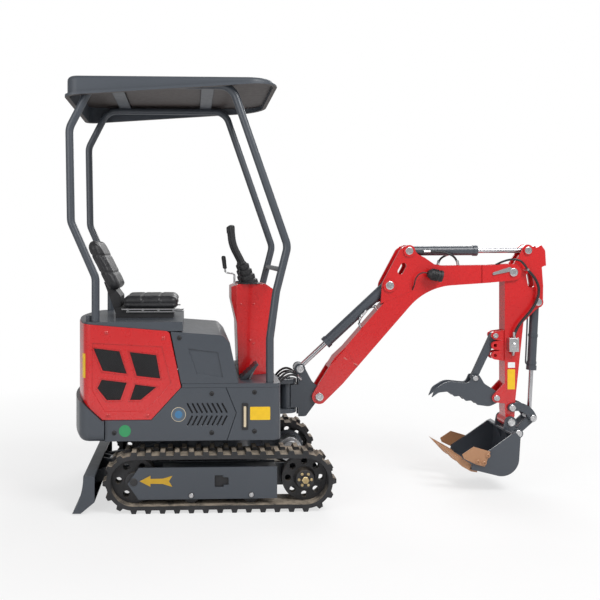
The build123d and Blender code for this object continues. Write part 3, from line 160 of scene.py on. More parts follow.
class Surface:
    """A node material under construction, with a Principled shader on Object coordinates."""

    def __init__(self, name):
        self.material = bpy.data.materials.new("finish_" + name)
        self.material.use_nodes = True
        self.tree = self.material.node_tree
        self.shader = self.tree.nodes["Principled BSDF"]
        self.place = self.tree.nodes.new("ShaderNodeTexCoord").outputs["Object"]

    def node(self, kind, links=None, **values):
        """A new node with its inputs set or linked and its plain settings made."""
        made = self.tree.nodes.new(kind)
        for key, value in values.items():
            setattr(made, key, value)
        for key, value in (links or {}).items():
            self.feed(made.inputs[key], value)
        return made

    def feed(self, socket, value):
        """Link a socket, or set it."""
        if isinstance(value, bpy.types.NodeSocket):
            self.tree.links.new(value, socket)
        else:
            socket.default_value = value

    def noise(self, scale, detail=3.0, rough=0.55):
        """A cloudy pattern from 0 to 1."""
        links = {"Vector": self.place, "Scale": scale, "Detail": detail, "Roughness": rough}
        return self.node("ShaderNodeTexNoise", links).outputs["Fac"]

    def blend(self, factor, low, high):
        """A colour between two, by a factor."""
        mix = self.node("ShaderNodeMix", data_type="RGBA")
        self.feed(mix.inputs["Factor"], factor)
        for socket, value in ((mix.inputs[6], low), (mix.inputs[7], high)):
            self.feed(socket, value if isinstance(value, bpy.types.NodeSocket) else (*value[:3], 1.0))
        return mix.outputs[2]

    def stretch(self, value, low, high, start=0.0, end=1.0):
        """A value mapped from one range to another."""
        links = {"Value": value, "From Min": start, "From Max": end, "To Min": low, "To Max": high}
        return self.node("ShaderNodeMapRange", links).outputs["Result"]

    def product(self, first, second):
        """Two values multiplied."""
        return self.node("ShaderNodeMath", {0: first, 1: second}, operation="MULTIPLY").outputs[0]

    def upward(self, low, high):
        """How far a face looks up, from 0 to 1 between two heights of its normal."""
        normal = self.node("ShaderNodeNewGeometry").outputs["True Normal"]
        height = self.node("ShaderNodeSeparateXYZ", {"Vector": normal}).outputs["Z"]
        return self.stretch(height, 0.0, 1.0, low, high)

    def bump(self, height, distance, strength=1.0):
        """A normal roughened by a height."""
        links = {"Height": height, "Distance": distance, "Strength": strength}
        return self.node("ShaderNodeBump", links).outputs["Normal"]

    def set(self, **values):
        """Link or set inputs of the shader, by name with underscores."""
        for key, value in values.items():
            self.feed(self.shader.inputs[key.replace("_", " ")], value)


def tint(colour, factor):
    """A colour made lighter or darker."""
    return tuple(min(1.0, channel * factor) for channel in colour[:3])


def sprayed(name, colour, gloss, coat, peel, under=None):
    """Sprayed paint: slight drift of colour, dust on top, rubs in the gloss and a fine orange peel."""
    made = Surface(name)
    drift = made.stretch(made.noise(2.2), 0.0, 1.0, *cloud)
    shade = made.blend(drift, tint(colour, 0.96), tint(colour, 1.04))
    specks = made.stretch(made.noise(9.0, 6.0), 0.0, 0.05, 0.45, 0.75)
    shade = made.blend(made.product(made.upward(0.6, 1.0), specks), shade, settings("paint").dust)
    if under is not None:
        # Faces that look down take the darker under colour
        shade = made.blend(made.upward(-0.75, -0.95), shade, under)
    rubs = made.noise(34.0, 5.0)
    made.set(Base_Color=shade, Roughness=made.stretch(rubs, gloss - 0.03, gloss + 0.04, *cloud),
             Normal=made.bump(made.noise(420.0, 2.0), fine_relief, peel),
             Coat_Weight=coat, Coat_Roughness=0.08)


def grained(name, colour, rough, scale, depth, soil_and_highlight=0.0):
    """Moulded rubber, vinyl or plastic with a pebbled grain, and the dust colour on its upper faces: real dirt and
    a painted highlight.
    """
    made = Surface(name)
    cells = made.node("ShaderNodeTexVoronoi", {"Vector": made.place, "Scale": scale}).outputs["Distance"]
    worn = made.stretch(made.noise(6.0, 4.0), 0.0, 1.0, 0.3, 0.75)
    shade = made.blend(worn, tint(colour, 0.75), tint(colour, 1.5))
    # The dust colour on upward faces paints the lit tops as a highlight, along with real dirt
    if soil_and_highlight:
        soil_and_highlight_patch = made.stretch(made.noise(14.0, 8.0, 0.7), 0.0, soil_and_highlight, 0.34, 0.58)
        shade = made.blend(made.product(soil_and_highlight_patch, made.upward(0.2, 0.95)), shade, settings("paint").dust)
    made.set(Base_Color=shade,
             Roughness=made.stretch(made.noise(20.0, 4.0), rough - 0.08, rough + 0.1, *cloud),
             Normal=made.bump(cells, depth))


def machined(name, colour, rough, streak):
    """Bare metal with fine turned or ground streaks."""
    made = Surface(name)
    fine = made.noise(streak, 4.0, 0.7)
    made.set(Base_Color=made.blend(made.noise(5.0), tint(colour, 0.85), tint(colour, 1.1)),
             Roughness=made.stretch(fine, rough - 0.05, rough + 0.1, *cloud),
             Normal=made.bump(fine, fine_relief, 0.3), Metallic=1.0)


def printed(name, colour):
    """A blank printed film with scuffs and a soft gloss."""
    made = Surface(name)
    scuff = made.stretch(made.noise(40.0, 4.0, 0.6), 0.0, 0.5, 0.35, 0.8)
    made.set(Base_Color=made.blend(scuff, tint(colour, 1.05), tint(colour, 0.82)),
             Roughness=made.stretch(made.noise(25.0, 3.0), 0.28, 0.48, *cloud),
             Normal=made.bump(made.noise(300.0, 2.0), fine_relief, 0.2))


def clear_lens():
    """The lamp's ribbed lens."""
    made = Surface("lamp_lens")
    ribs = made.node("ShaderNodeTexWave", {"Vector": made.place, "Scale": 60.0},
                     bands_direction="Y").outputs["Fac"]
    made.set(Base_Color=made.blend(ribs, (0.62, 0.64, 0.66), (0.90, 0.92, 0.94)),
             Normal=made.bump(ribs, 0.0008, 0.6), Roughness=0.06, Metallic=0.6, Coat_Weight=1.0)


film_colours = {
    "white_film": (0.78, 0.79, 0.80), "green_film": (0.03, 0.27, 0.10), "arrow_film": (0.52, 0.31, 0.018),
    "ring_film": (0.085, 0.115, 0.15), "blue_film": (0.05, 0.17, 0.33), "gauge_film": (0.62, 0.52, 0.36),
    # weld_highlight is a pale red that paints the highlight along the boom's weld beads
    "weld_highlight": (0.60, 0.17, 0.15),
}


def finishes():
    """Make every finish, for the record's slots and for the small fittings."""
    paint = settings("paint")
    sprayed("red_paint", paint.red, 0.28, 0.7, 0.07)
    sprayed("dark_paint", paint.slate, 0.40, 0.2, 0.2)
    sprayed("roof_paint", tint(paint.slate, 1.05), 0.5, 0.05, 0.6, paint.underside_tone)
    sprayed("tan_steel", paint.tan, 0.45, 0.1, 0.6)
    sprayed("engine_iron", (0.10, 0.10, 0.10), 0.6, 0.0, 1.0)
    # For the track rubber and wheel_black, the last figure sets how much of the dust colour the upper faces take,
    # as real dirt and a painted highlight
    grained("track_rubber", paint.rubber, 0.78, 260.0, 0.0006, 0.85)
    grained("seat_vinyl", tint(paint.plastic, 1.2), 0.42, 700.0, 0.0001)
    grained("black_plastic", paint.plastic, 0.5, 900.0, 0.0002)
    grained("hose_rubber", paint.plastic, 0.42, 1200.0, 0.0002)
    grained("wheel_black", paint.rubber, 0.5, 500.0, 0.0003, 0.25)
    machined("chrome_rod", (0.52, 0.52, 0.54), 0.17, 900.0)
    machined("pin_steel", (0.62, 0.62, 0.63), 0.28, 500.0)
    machined("hub_brass", (0.56, 0.44, 0.24), 0.35, 400.0)
    printed("yellow_film", paint.yellow)
    for name, colour in film_colours.items():
        printed(name, colour)
    clear_lens()


def material(name):
    """A finish by its name, all made at the first call."""
    if "finish_" + name not in bpy.data.materials:
        finishes()
    return bpy.data.materials["finish_" + name]


# Mesh tools
weld_gap = 1e-5
join_gap = 1e-6
sliver = 1e-7
flat_angle = radians(0.5)
sharp_angle = radians(32)
tube_angle = radians(60)


def whole_faces(node):
    """A copy of a node's solid with its flat faces whole."""
    shape = bmesh.new()
    shape.from_mesh(frame["nodes"][node].data)
    bmesh.ops.remove_doubles(shape, verts=shape.verts, dist=weld_gap)
    bmesh.ops.dissolve_limit(shape, angle_limit=flat_angle, verts=shape.verts, edges=shape.edges)
    return shape


def rounded_copy(node, width):
    """A copy of a node's solid with its flat faces whole and its sharp edges rounded."""
    shape = whole_faces(node)
    sharp = [edge for edge in shape.edges
             if len(edge.link_faces) == 2 and edge.calc_face_angle(0) > sharp_angle]
    bmesh.ops.bevel(shape, geom=sharp, offset=width, segments=2, profile=0.5, affect="EDGES",
                    material=-1, clamp_overlap=True)
    return shape


def standing(place, axis):
    """The placing that stands a shape at a point, with its +Z along an axis."""
    return Matrix.Translation(place) @ axis.to_track_quat("Z", "Y").to_matrix().to_4x4()


def lathe(shape, place, axis, profile, steps=28):
    """Turn a profile of radius and height pairs about an axis."""
    stand = standing(place, axis)
    points = [shape.verts.new(stand @ Vector((radius, 0.0, height))) for radius, height in profile]
    edges = [shape.edges.new(pair) for pair in zip(points, points[1:])]
    bmesh.ops.spin(shape, geom=points + edges, cent=place, axis=axis, angle=2 * pi, steps=steps,
                   use_merge=True)


def bar(shape, centre, size, turn=None, edge=0.0008):
    """A box with rounded edges."""
    place = Matrix.Translation(centre) @ (turn or Matrix()) @ Matrix.Diagonal((*size, 1.0))
    made = bmesh.ops.create_cube(shape, size=1.0, matrix=place)
    edges = {link for vert in made["verts"] for link in vert.link_edges}
    bmesh.ops.bevel(shape, geom=list(edges), offset=edge, segments=2, profile=0.5, affect="EDGES",
                    material=-1)


def raise_faces(shape, faces, move):
    """Thicken faces into a plate, by drawing them out along a move."""
    grown = bmesh.ops.extrude_face_region(shape, geom=faces)["geom"]
    corners = [item for item in grown if isinstance(item, bmesh.types.BMVert)]
    bmesh.ops.translate(shape, verts=corners, vec=move)


def film(shape, outline, y, thick):
    """A thin plate on a side wall, from X and Z pairs, standing off to the right."""
    points = [shape.verts.new(spot(x, y, z)) for x, z in outline]
    raise_faces(shape, [shape.faces.new(points)], RIGHT * thick)


def wall(node, x, z, way):
    """The outermost point of a node's solid towards one side, at X and Z from the slewing axis."""
    mesh = frame["nodes"][node].data
    corners = [vert.co for vert in mesh.vertices]
    tree = BVHTree.FromPolygons(corners, [face.vertices for face in mesh.polygons])
    return tree.ray_cast(spot(x, way.y * 2.0, z), -way)[0]


def strap(x1, z1, radius1, x2, z2, radius2, steps=8):
    """The outline of a flat bar with two round ends, as X and Z pairs."""
    lean = (Vector((x2, z2)) - Vector((x1, z1))).angle_signed(Vector((1, 0)))
    outline = []
    for x, z, radius, first in ((x2, z2, radius2, -pi / 2), (x1, z1, radius1, pi / 2)):
        for step in range(steps + 1):
            angle = lean + first + pi * step / steps
            outline.append((x + radius * cos(angle), z + radius * sin(angle)))
    return outline


def rounded_field(x_low, x_high, z_low, z_high, corner, steps=4):
    """The outline of a rectangle with round corners, as X and Z pairs."""
    left, right = x_low + corner, x_high - corner
    low, high = z_low + corner, z_high - corner
    outline = []
    for turn, (x, z) in enumerate(((right, high), (left, high), (left, low), (right, low))):
        for step in range(steps + 1):
            angle = pi / 2 * (turn + step / steps)
            outline.append((x + corner * cos(angle), z + corner * sin(angle)))
    return outline


def round_field(x, z, radius, steps=36):
    """The outline of a disc, as X and Z pairs."""
    return [(x + radius * cos(2 * pi * step / steps), z + radius * sin(2 * pi * step / steps))
            for step in range(steps)]


def link(name, data):
    """A new object in the scene, with its mesh, curve, light or camera."""
    holder = bpy.data.objects.new(name, data)
    bpy.context.scene.collection.objects.link(holder)
    return holder


def link_mesh(name, shape):
    """A new object in the scene, with a finished shape as its mesh."""
    mesh = bpy.data.meshes.new(name)
    shape.to_mesh(mesh)
    shape.free()
    return link(name, mesh)


def baked(holder):
    """The mesh that an object makes with its curve or its modifiers."""
    seen = bpy.context.evaluated_depsgraph_get()
    return bpy.data.meshes.new_from_object(holder.evaluated_get(seen))


def add_piece(name, shape, body, slot, replaced=(), finish=None, smooth_angle=sharp_angle):
    """Link a finished mesh, give it its finish and ride it on its body, if it has one."""
    piece = link_mesh(name, shape)
    piece.data.shade_smooth()
    piece.data.set_sharp_from_angle(angle=smooth_angle)
    piece.data.materials.append(material(finish or slot))
    weighted = piece.modifiers.new("face_normals", "WEIGHTED_NORMAL")
    weighted.keep_sharp = True
    if body:
        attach(piece, body)
    if replaced:
        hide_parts(*replaced)
    return piece


def add_fitting(name, shape, body, slot, finish=None, replaced=()):
    """Close a new shape, turn its faces outwards and add it."""
    bmesh.ops.remove_doubles(shape, verts=shape.verts, dist=join_gap)
    bmesh.ops.dissolve_degenerate(shape, edges=shape.edges, dist=sliver)
    bmesh.ops.recalc_face_normals(shape, faces=shape.faces)
    add_piece(name, shape, body, slot, replaced, finish)


def smooth_curve(route, radius):
    """A smooth curve object drawn by a route's control points, as a tube where it has a radius."""
    curve = bpy.data.curves.new("route", "CURVE")
    curve.dimensions = "3D"
    spline = curve.splines.new("NURBS")
    spline.points.add(len(route) - 1)
    for point, place in zip(spline.points, route):
        point.co = (*place, 1.0)
    spline.use_endpoint_u = True
    spline.order_u = 3
    spline.resolution_u = 10
    curve.bevel_depth = radius
    curve.bevel_resolution = 5
    curve.use_fill_caps = True
    return link("route", curve)


def mesh_of(holder):
    """The mesh that a curve object makes, and the curve taken away."""
    made = baked(holder)
    curve = holder.data
    bpy.data.objects.remove(holder)
    bpy.data.curves.remove(curve)
    return made


def tube(name, route, radius, body, slot, replaced=(), finish=None):
    """A round bar or hose along a route."""
    shape = bmesh.new()
    shape.from_mesh(mesh_of(smooth_curve(route, radius)))
    return add_piece(name, shape, body, slot, replaced, finish, tube_angle)


# Skins
dressed_apart = ("seat_cushion", "seat_back", "vent_screens", "arm_hose")
skin_finish = {"canopy_roof": "roof_paint", "sprockets": "wheel_black", "idlers": "wheel_black",
               "rollers": "wheel_black", "console_levers": "pin_steel"}


class EXCAVATOR_OT_skins(bpy.types.Operator):
    """Give every solid of the machine a soft-edged skin in its finish"""
    bl_idname = "excavator.skins"
    bl_label = "Skins"

    def execute(self, context):
        edges = settings("edges")
        for node, slot in slots.items():
            if node in dressed_apart:
                continue
            thin = slot == "black_plastic" or node.startswith("hood_side")
            shape = rounded_copy(node, edges.fine if thin else edges.heavy)
            add_piece(node + "_skin", shape, body_of[node], slot, [node], skin_finish.get(node))
        return {"FINISHED"}


# Hood screens, and black plates behind the louvres as painted shade
wall_y = 0.430
shade_plate_inset = 0.014
shade_plate_boxes = (((-0.066, 0.507), (0.25, 0.004, 0.16)), ((-0.489, 0.722), (0.40, 0.003, 0.31)))
lip_grow = 0.006
lip_sink = 0.001
lip_width = 0.0045
lip_height = 0.004
wire_size = 0.0018
wire_step = 0.0006


class EXCAVATOR_OT_screens(bpy.types.Operator):
    """Fill the hood's vents with wire screens and put black plates behind the louvres as painted shade"""
    bl_idname = "excavator.screens"
    bl_label = "Screens"

    def execute(self, context):
        vents = self.vents()
        wires = bmesh.new()
        for outline, way in vents:
            self.screen(wires, outline, way)
        add_fitting("hood_screens", wires, "upper", "black_plastic", replaced=["vent_screens"])
        # Black plates behind the louvres paint the shade inside the hood
        shade_plates = bmesh.new()
        for y in (shade_plate_inset - wall_y, wall_y - shade_plate_inset):
            for (x, z), size in shade_plate_boxes:
                bar(shade_plates, spot(x, y, z), size)
        add_fitting("louvre_shade_plates", shade_plates, "upper", "black_plastic")
        frames = bmesh.new()
        for outline, way in vents:
            self.surround(frames, outline, way)
        add_fitting("vent_frames", frames, "upper", "red_paint")
        return {"FINISHED"}

    def surround(self, frames, outline, way):
        """A raised lip around one vent."""
        middle = sum(outline, Vector()) / len(outline)
        grown = [point + (point - middle).normalized() * lip_grow for point in outline]
        side = "hood_side_right" if way.y < 0 else "hood_side_left"
        foot = wall(side, grown[0].x - slew_x, grown[0].z, way).y - way.y * lip_sink
        face = frames.faces.new([frames.verts.new((point.x, foot, point.z)) for point in grown])
        ring = bmesh.ops.inset_region(frames, faces=[face], thickness=lip_width, use_boundary=True)["faces"]
        bmesh.ops.delete(frames, geom=[face], context="FACES_ONLY")
        raise_faces(frames, ring, way * lip_height)

    def vents(self):
        """The outer faces of the screens' solids: their corners and the way that they look."""
        shape = whole_faces("vent_screens")
        found = []
        for face in shape.faces:
            way = face.normal
            if abs(way.y) > 0.9 and way.y * face.calc_center_median().y > 0:
                found.append(([vert.co.copy() for vert in face.verts], Vector((0, round(way.y), 0))))
        shape.free()
        return found

    def screen(self, shape, outline, way):
        """One screen: two rows of crossing wires, cut to the vent."""
        pitch = settings("edges").mesh
        middle = sum(outline, Vector()) / len(outline)
        reach = max((point - middle).length for point in outline)
        count = int(reach / pitch) + 1
        wires = bmesh.new()
        thin = Matrix.Diagonal((2.2 * reach, wire_size, wire_size, 1.0))
        for lean in (-1, 1):
            slant = Matrix.Rotation(lean * pi / 4, 4, "Y")
            turn = Matrix.Translation(middle + way * wire_step * lean) @ slant
            for step in range(-count, count + 1):
                wire = Matrix.Translation((0, 0, step * pitch)) @ thin
                bmesh.ops.create_cube(wires, size=1.0, matrix=turn @ wire)
        for a, b in zip(outline, outline[1:] + outline[:1]):
            cut = bmesh.ops.bisect_plane(wires, geom=[*wires.verts, *wires.edges, *wires.faces], plane_co=a,
                                         plane_no=(b - a).cross(way).normalized(), clear_outer=True)
            rims = [item for item in cut["geom_cut"] if isinstance(item, bmesh.types.BMEdge)]
            bmesh.ops.holes_fill(wires, edges=rims)
        part = bpy.data.meshes.new("screen")
        wires.to_mesh(part)
        wires.free()
        shape.from_mesh(part)
        bpy.data.meshes.remove(part)


# Bolts and pins
hood_screws = ((-0.592, 0.939), (-0.296, 0.909), (-0.583, 0.506), (-0.377, 0.504))
cover_bolts = ((-0.213, 0.909), (-0.043, 0.616), (0.182, 0.622), (-0.043, 0.411), (0.182, 0.417),
               (-0.553, 0.414))
cutter_bolts = ((1.517, 0.213), (1.460, 0.180), (1.496, 0.172))
console_screws = ((0.200, 1.066), (0.130, 1.066), (0.180, 0.863), (0.200, 0.845))
roller_pins = ((-0.151, 0.088), (0.164, 0.088))
cutter_y = 0.199
console_y = 0.150
frame_y = 0.447
roller_y = 0.451
roller_pin = 0.012
bolt_rows = (
    ("hood_screws", hood_screws, wall_y, 0.85, "upper", "red_paint"),
    ("cover_bolts", cover_bolts, wall_y, 1.0, "upper", "black_plastic"),
    ("console_screws", console_screws, console_y, 0.5, "upper", "red_paint"),
    ("cutter_bolts", cutter_bolts, cutter_y, 1.2, "bucket", "tan_steel"),
)
wheel_spot = (0.450, 0.160)
hub_profile = ((0, -0.002), (0.020, -0.002), (0.020, 0.007), (0.017, 0.009), (0.010, 0.009), (0.009, 0.004),
               (0, 0.004))
stud_ring = 0.033
stud_sink = 0.010
stud_radius = 0.006
pin_profile = ((0, -0.008), (1, -0.008), (1, 0.0015), (0.88, 0.003), (0.62, 0.003), (0.58, 0.0022),
               (0.50, 0.0022), (0.46, 0.003), (0.16, 0.003), (0, 0.0015))
pin_heads = (
    ("swing_post", (0.477, 0.684), 0.054, 0.021), ("swing_post", (0.586, 0.526), 0.071, 0.023),
    ("boom", (0.997, 1.165), 0.060, 0.024), ("boom", (1.111, 1.365), 0.060, 0.022),
    ("boom", (1.723, 1.241), 0.064, 0.024), ("arm", (1.815, 1.368), 0.051, 0.021),
    ("arm", (1.874, 1.066), 0.051, 0.021), ("arm", (1.702, 0.372), 0.080, 0.022),
    ("arm", (1.716, 0.452), 0.064, 0.019), ("rocker", (1.839, 0.391), 0.064, 0.019),
    ("bucket", (1.745, 0.307), 0.081, 0.020), ("arm", (1.627, 0.508), 0.056, 0.017),
    ("arm", (1.626, 0.870), 0.041, 0.015), ("arm", (1.507, 0.622), 0.041, 0.015),
)


def dome_bolt(shape, place, way, radius):
    """A washer with a domed head that has a round socket."""
    lathe(shape, place, way, ((0, -0.001), (radius, -0.001), (radius, 0.0012), (radius * 0.82, 0.0018),
                              (radius * 0.80, radius * 0.32), (radius * 0.55, radius * 0.52),
                              (radius * 0.36, radius * 0.56), (radius * 0.34, radius * 0.30),
                              (0, radius * 0.28)), 24)


def hex_bolt(shape, place, way, radius):
    """A washer under a hexagon head."""
    lathe(shape, place, way, ((0, -0.001), (radius * 1.25, -0.001), (radius * 1.25, 0.002), (0, 0.002)), 24)
    lathe(shape, place, way, ((0, 0.001), (radius, 0.001), (radius, radius * 0.6),
                              (radius * 0.86, radius * 0.7), (0, radius * 0.7)), 6)


def pin_head(shape, place, way, radius):
    """A turned pin end with a chamfer, a ring groove and a centre mark."""
    lathe(shape, place, way, [(radius * share, height) for share, height in pin_profile])


class EXCAVATOR_OT_fasteners(bpy.types.Operator):
    """Add the bolts, screws and pin ends"""
    bl_idname = "excavator.fasteners"
    bl_label = "Fasteners"

    def execute(self, context):
        bolt = settings("edges").bolt
        for name, places, y, share, body, slot in bolt_rows:
            shape = bmesh.new()
            for way in (RIGHT, LEFT):
                for x, z in places:
                    dome_bolt(shape, spot(x, way.y * y, z), way, bolt * share)
            add_fitting(name, shape, body, slot)
        track, hub = bmesh.new(), bmesh.new()
        for way in (RIGHT, LEFT):
            for x, z in roller_pins:
                pin_head(track, spot(x, way.y * roller_y, z), way, roller_pin)
            self.hub(hub, way)
        add_fitting("roller_pins", track, "undercarriage", "pin_steel")
        add_fitting("hub_nuts", hub, "undercarriage", "pin_steel", "hub_brass")
        for body in dict.fromkeys(row[0] for row in pin_heads):
            heads = bmesh.new()
            for owner, (x, z), face_y, radius in pin_heads:
                if owner == body:
                    pin_head(heads, spot(x, -face_y, z), RIGHT, radius)
                    pin_head(heads, spot(x, face_y, z), LEFT, radius)
            add_fitting(body + "_pin_ends", heads, body, "pin_steel")
        return {"FINISHED"}

    def hub(self, shape, way):
        """The wheel hub's nut with a ring of small studs."""
        face_y = way.y * max(corner.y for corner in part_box("sprockets"))
        middle = spot(wheel_spot[0], face_y, wheel_spot[1])
        lathe(shape, middle, way, hub_profile, 6)
        for turn in range(6):
            angle = pi / 3 * turn
            out = Vector((stud_ring * cos(angle), -way.y * stud_sink, stud_ring * sin(angle)))
            hex_bolt(shape, middle + out, way, stud_radius)


# Plates
arrow = ((-0.419, 0.165), (-0.363, 0.194), (-0.363, 0.177), (-0.298, 0.178), (-0.249, 0.192), (-0.267, 0.164),
         (-0.249, 0.134), (-0.299, 0.150), (-0.363, 0.152), (-0.363, 0.136))
arm_y = 0.043
film_thick = 0.0008
film_lift = 0.0004
films = (
    ("travel_arrow", "undercarriage", "arrow_film", -frame_y, arrow),
    ("front_plate", "upper", "yellow_film", -wall_y, rounded_field(0.159, 0.265, 0.476, 0.545, 0.004)),
    ("green_disc", "upper", "green_film", -wall_y, round_field(-0.497, 0.424, 0.031)),
    ("pale_ring", "upper", "gauge_film", -wall_y, round_field(-0.217, 0.508, 0.038)),
    ("dark_disc", "upper", "ring_film", -wall_y - film_lift, round_field(-0.217, 0.508, 0.0355)),
    ("blue_disc", "upper", "blue_film", -wall_y - 2 * film_lift, round_field(-0.217, 0.508, 0.020)),
    ("arm_plate", "arm", "yellow_film", -arm_y, rounded_field(1.694, 1.738, 0.557, 0.674, 0.003)),
    ("arm_tag", "arm", "white_film", -arm_y, rounded_field(1.696, 1.738, 0.683, 0.715, 0.003)),
)
rear_spot = (-0.7145, 0, 0.764)
rear_size = (0.021, 0.128)
pocket = ((-0.031, 0.128), (0.012, 0.128), (0.014, 0.141), (0.038, 0.144), (0.046, 0.154), (0.046, 0.168),
          (0.038, 0.178), (0.014, 0.180), (0.012, 0.188), (-0.031, 0.188))
pocket_middle = (-0.005, 0.160)
gauge_case = rounded_field(0.115, 0.148, 0.424, 0.565, 0.006)
gauge_strip = rounded_field(0.125, 0.138, 0.440, 0.549, 0.004)
case_thick = 0.004
strip_foot = 0.003
strip_thick = 0.0025


class EXCAVATOR_OT_plates(bpy.types.Operator):
    """Add the blank plates, the travel arrow, a black plate that paints the shade in the track frame's pocket, and
    the oil gauge
    """
    bl_idname = "excavator.plates"
    bl_label = "Plates"

    def execute(self, context):
        for name, body, finish, y, outline in films:
            slot = "red_paint" if body == "arm" else "tan_steel"
            self.plate(name, outline, y, film_thick, body, slot, finish)
        self.rear_plate()
        # A black plate on the pocket's floor paints the shade inside the track frame's hollow
        floor = wall("track_frame_right", *pocket_middle, RIGHT)
        self.plate("frame_pocket_shade", pocket, floor.y, film_thick, "undercarriage", "black_plastic")
        self.plate("gauge_case", gauge_case, -wall_y, case_thick, "upper", "black_plastic")
        self.plate("gauge_strip", gauge_strip, -wall_y - strip_foot, strip_thick, "upper", "black_plastic",
                   "gauge_film")
        return {"FINISHED"}

    def plate(self, name, outline, y, thick, body, slot, finish=None):
        """One flat plate on the machine's right side."""
        shape = bmesh.new()
        film(shape, outline, y, thick)
        add_fitting(name, shape, body, slot, finish)

    def rear_plate(self):
        """A narrow plate laid over the hood's rear corner."""
        shape = bmesh.new()
        place = Matrix.Translation(spot(*rear_spot)) @ Matrix.Rotation(pi / 2, 4, "X")
        bmesh.ops.create_grid(shape, x_segments=6, y_segments=1, size=0.5,
                              matrix=place @ Matrix.Diagonal((*rear_size, 1.0, 1.0)))
        for vert in shape.verts:
            x, z = vert.co.x - slew_x, vert.co.z
            hits = [wall(node, x, z, RIGHT) for node in ("hood_side_right", "hood_rear")]
            vert.co.y = min(hit.y for hit in hits if hit) - film_lift
        raise_faces(shape, shape.faces[:], RIGHT * film_thick)
        add_fitting("rear_plate", shape, "upper", "tan_steel", "yellow_film")


# Ironwork
keeper_bar = (1.606, 1.233, 0.008, 1.700, 1.258, 0.013)
keeper_middle = (1.65, 1.245)
keeper_bolt = (1.608, 1.233)
keeper_thick = 0.006
keeper_head = 0.0065
weld_ends = ((0.727, 0.750), (0.812, 0.702))
bead_count = 26
bead_profile = ((0, -0.003), (0.0034, -0.0018), (0.0040, 0.0), (0.0034, 0.0018), (0, 0.003))
plug_profile = ((0, -0.001), (0.013, -0.001), (0.013, 0.004), (0.010, 0.006), (0.010, 0.012), (0.007, 0.014),
                (0.006, 0.010), (0, 0.010))
valve_inset = (0.010, 0.011)
valve_head = 0.0062
nipple_profile = ((0, -0.002), (0.011, -0.002), (0.011, 0.010), (0.008, 0.012), (0.008, 0.022), (0, 0.024))
pedal_radius = 0.006
pedal_rows = (-0.285, -0.215, 0.215, 0.285)
pedal_rod = ((0.108, 0.628), (0.150, 0.636), (0.176, 0.690), (0.200, 0.736))


class EXCAVATOR_OT_ironwork(bpy.types.Operator):
    """Add weld beads, the pin keeper, the valve's fittings and the pedal rods"""
    bl_idname = "excavator.ironwork"
    bl_label = "Ironwork"

    def execute(self, context):
        self.pin_keeper()
        self.boom_weld()
        self.valve_fittings()
        for number, y in enumerate(pedal_rows):
            route = [spot(x, y, z) for x, z in pedal_rod]
            tube("pedal_rod_" + str(number + 1), route, pedal_radius, "upper", "pin_steel")
        return {"FINISHED"}

    def pin_keeper(self):
        """The flat bar that holds the pin at the boom's tip, with its bolt."""
        shape = bmesh.new()
        film(shape, strap(*keeper_bar), wall("boom", *keeper_middle, RIGHT).y, keeper_thick)
        x, z = keeper_bolt
        hex_bolt(shape, spot(x, wall("boom", x, z, RIGHT).y - keeper_thick, z), RIGHT, keeper_head)
        add_fitting("pin_keeper", shape, "boom", "pin_steel")

    def boom_weld(self):
        """A row of weld beads across each side of the boom, in a pale red that paints their highlight."""
        shape = bmesh.new()
        for way in (RIGHT, LEFT):
            low, high = (wall("boom", x, z, way) for x, z in weld_ends)
            along = (high - low).normalized()
            for step in range(bead_count):
                lathe(shape, low.lerp(high, (step + 0.5) / bead_count), along, bead_profile, 12)
        add_fitting("boom_weld", shape, "boom", "red_paint", "weld_highlight")

    def valve_fittings(self):
        """The valve block's corner bolts, its plug and the nipple under it."""
        low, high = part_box("valve_block")
        middle = (low + high) / 2
        shape = bmesh.new()
        for x in (low.x + valve_inset[0], high.x - valve_inset[0]):
            for z in (low.z + valve_inset[1], high.z - valve_inset[1]):
                hex_bolt(shape, Vector((x, low.y, z)), RIGHT, valve_head)
        lathe(shape, Vector((middle.x, low.y, middle.z)), RIGHT, plug_profile)
        lathe(shape, Vector((middle.x, middle.y, low.z)), -UP, nipple_profile, 6)
        add_fitting("valve_fittings", shape, "arm", "pin_steel")


# Hoses
arm_route = ((1.800, -0.071, 1.256), (1.872, -0.071, 1.190), (1.862, -0.071, 1.060), (1.722, -0.071, 0.910),
             (1.722, -0.071, 0.860))
hoses = (
    ("arm_feed_hose", "boom", "arm", (
        (1.630, -0.030, 1.284), (1.676, -0.050, 1.312), (1.748, -0.071, 1.318), (1.788, -0.071, 1.282),
        (1.800, -0.071, 1.256))),
    ("arm_ram_hose_right", "boom", "arm_barrel", (
        (1.404, -0.036, 1.278), (1.394, -0.040, 1.326), (1.330, -0.041, 1.356), (1.262, -0.040, 1.362),
        (1.206, -0.036, 1.361))),
    ("arm_ram_hose_left", "boom", "arm_barrel", (
        (1.306, 0.036, 1.277), (1.314, 0.042, 1.302), (1.338, 0.042, 1.333), (1.388, 0.034, 1.350))),
    ("boom_ram_hose_upper", "boom", "boom_barrel", (
        (0.930, -0.030, 1.020), (0.914, -0.038, 1.046), (0.868, -0.040, 1.026), (0.846, -0.034, 0.994))),
    ("boom_ram_hose_lower", "boom", "boom_barrel", (
        (0.836, -0.030, 0.918), (0.822, -0.038, 0.946), (0.826, -0.040, 0.970), (0.838, -0.034, 0.990))),
)
hose_gauge = {"nose": 1.05, "boom": 0.62}
arm_gauge = 1.25
arm_elbow = (1.800, -0.047, 1.256)
nose_rows = (-0.095, -0.062, 0.062, 0.095)
nose_route = ((0.262, 1.0, 0.552, 0), (0.320, 1.05, 0.566, 1), (0.376, 1.1, 0.650, 1), (0.440, 0.9, 0.664, 1),
              (0.480, 0.5, 0.628, 0))
nose_lean = 0.012
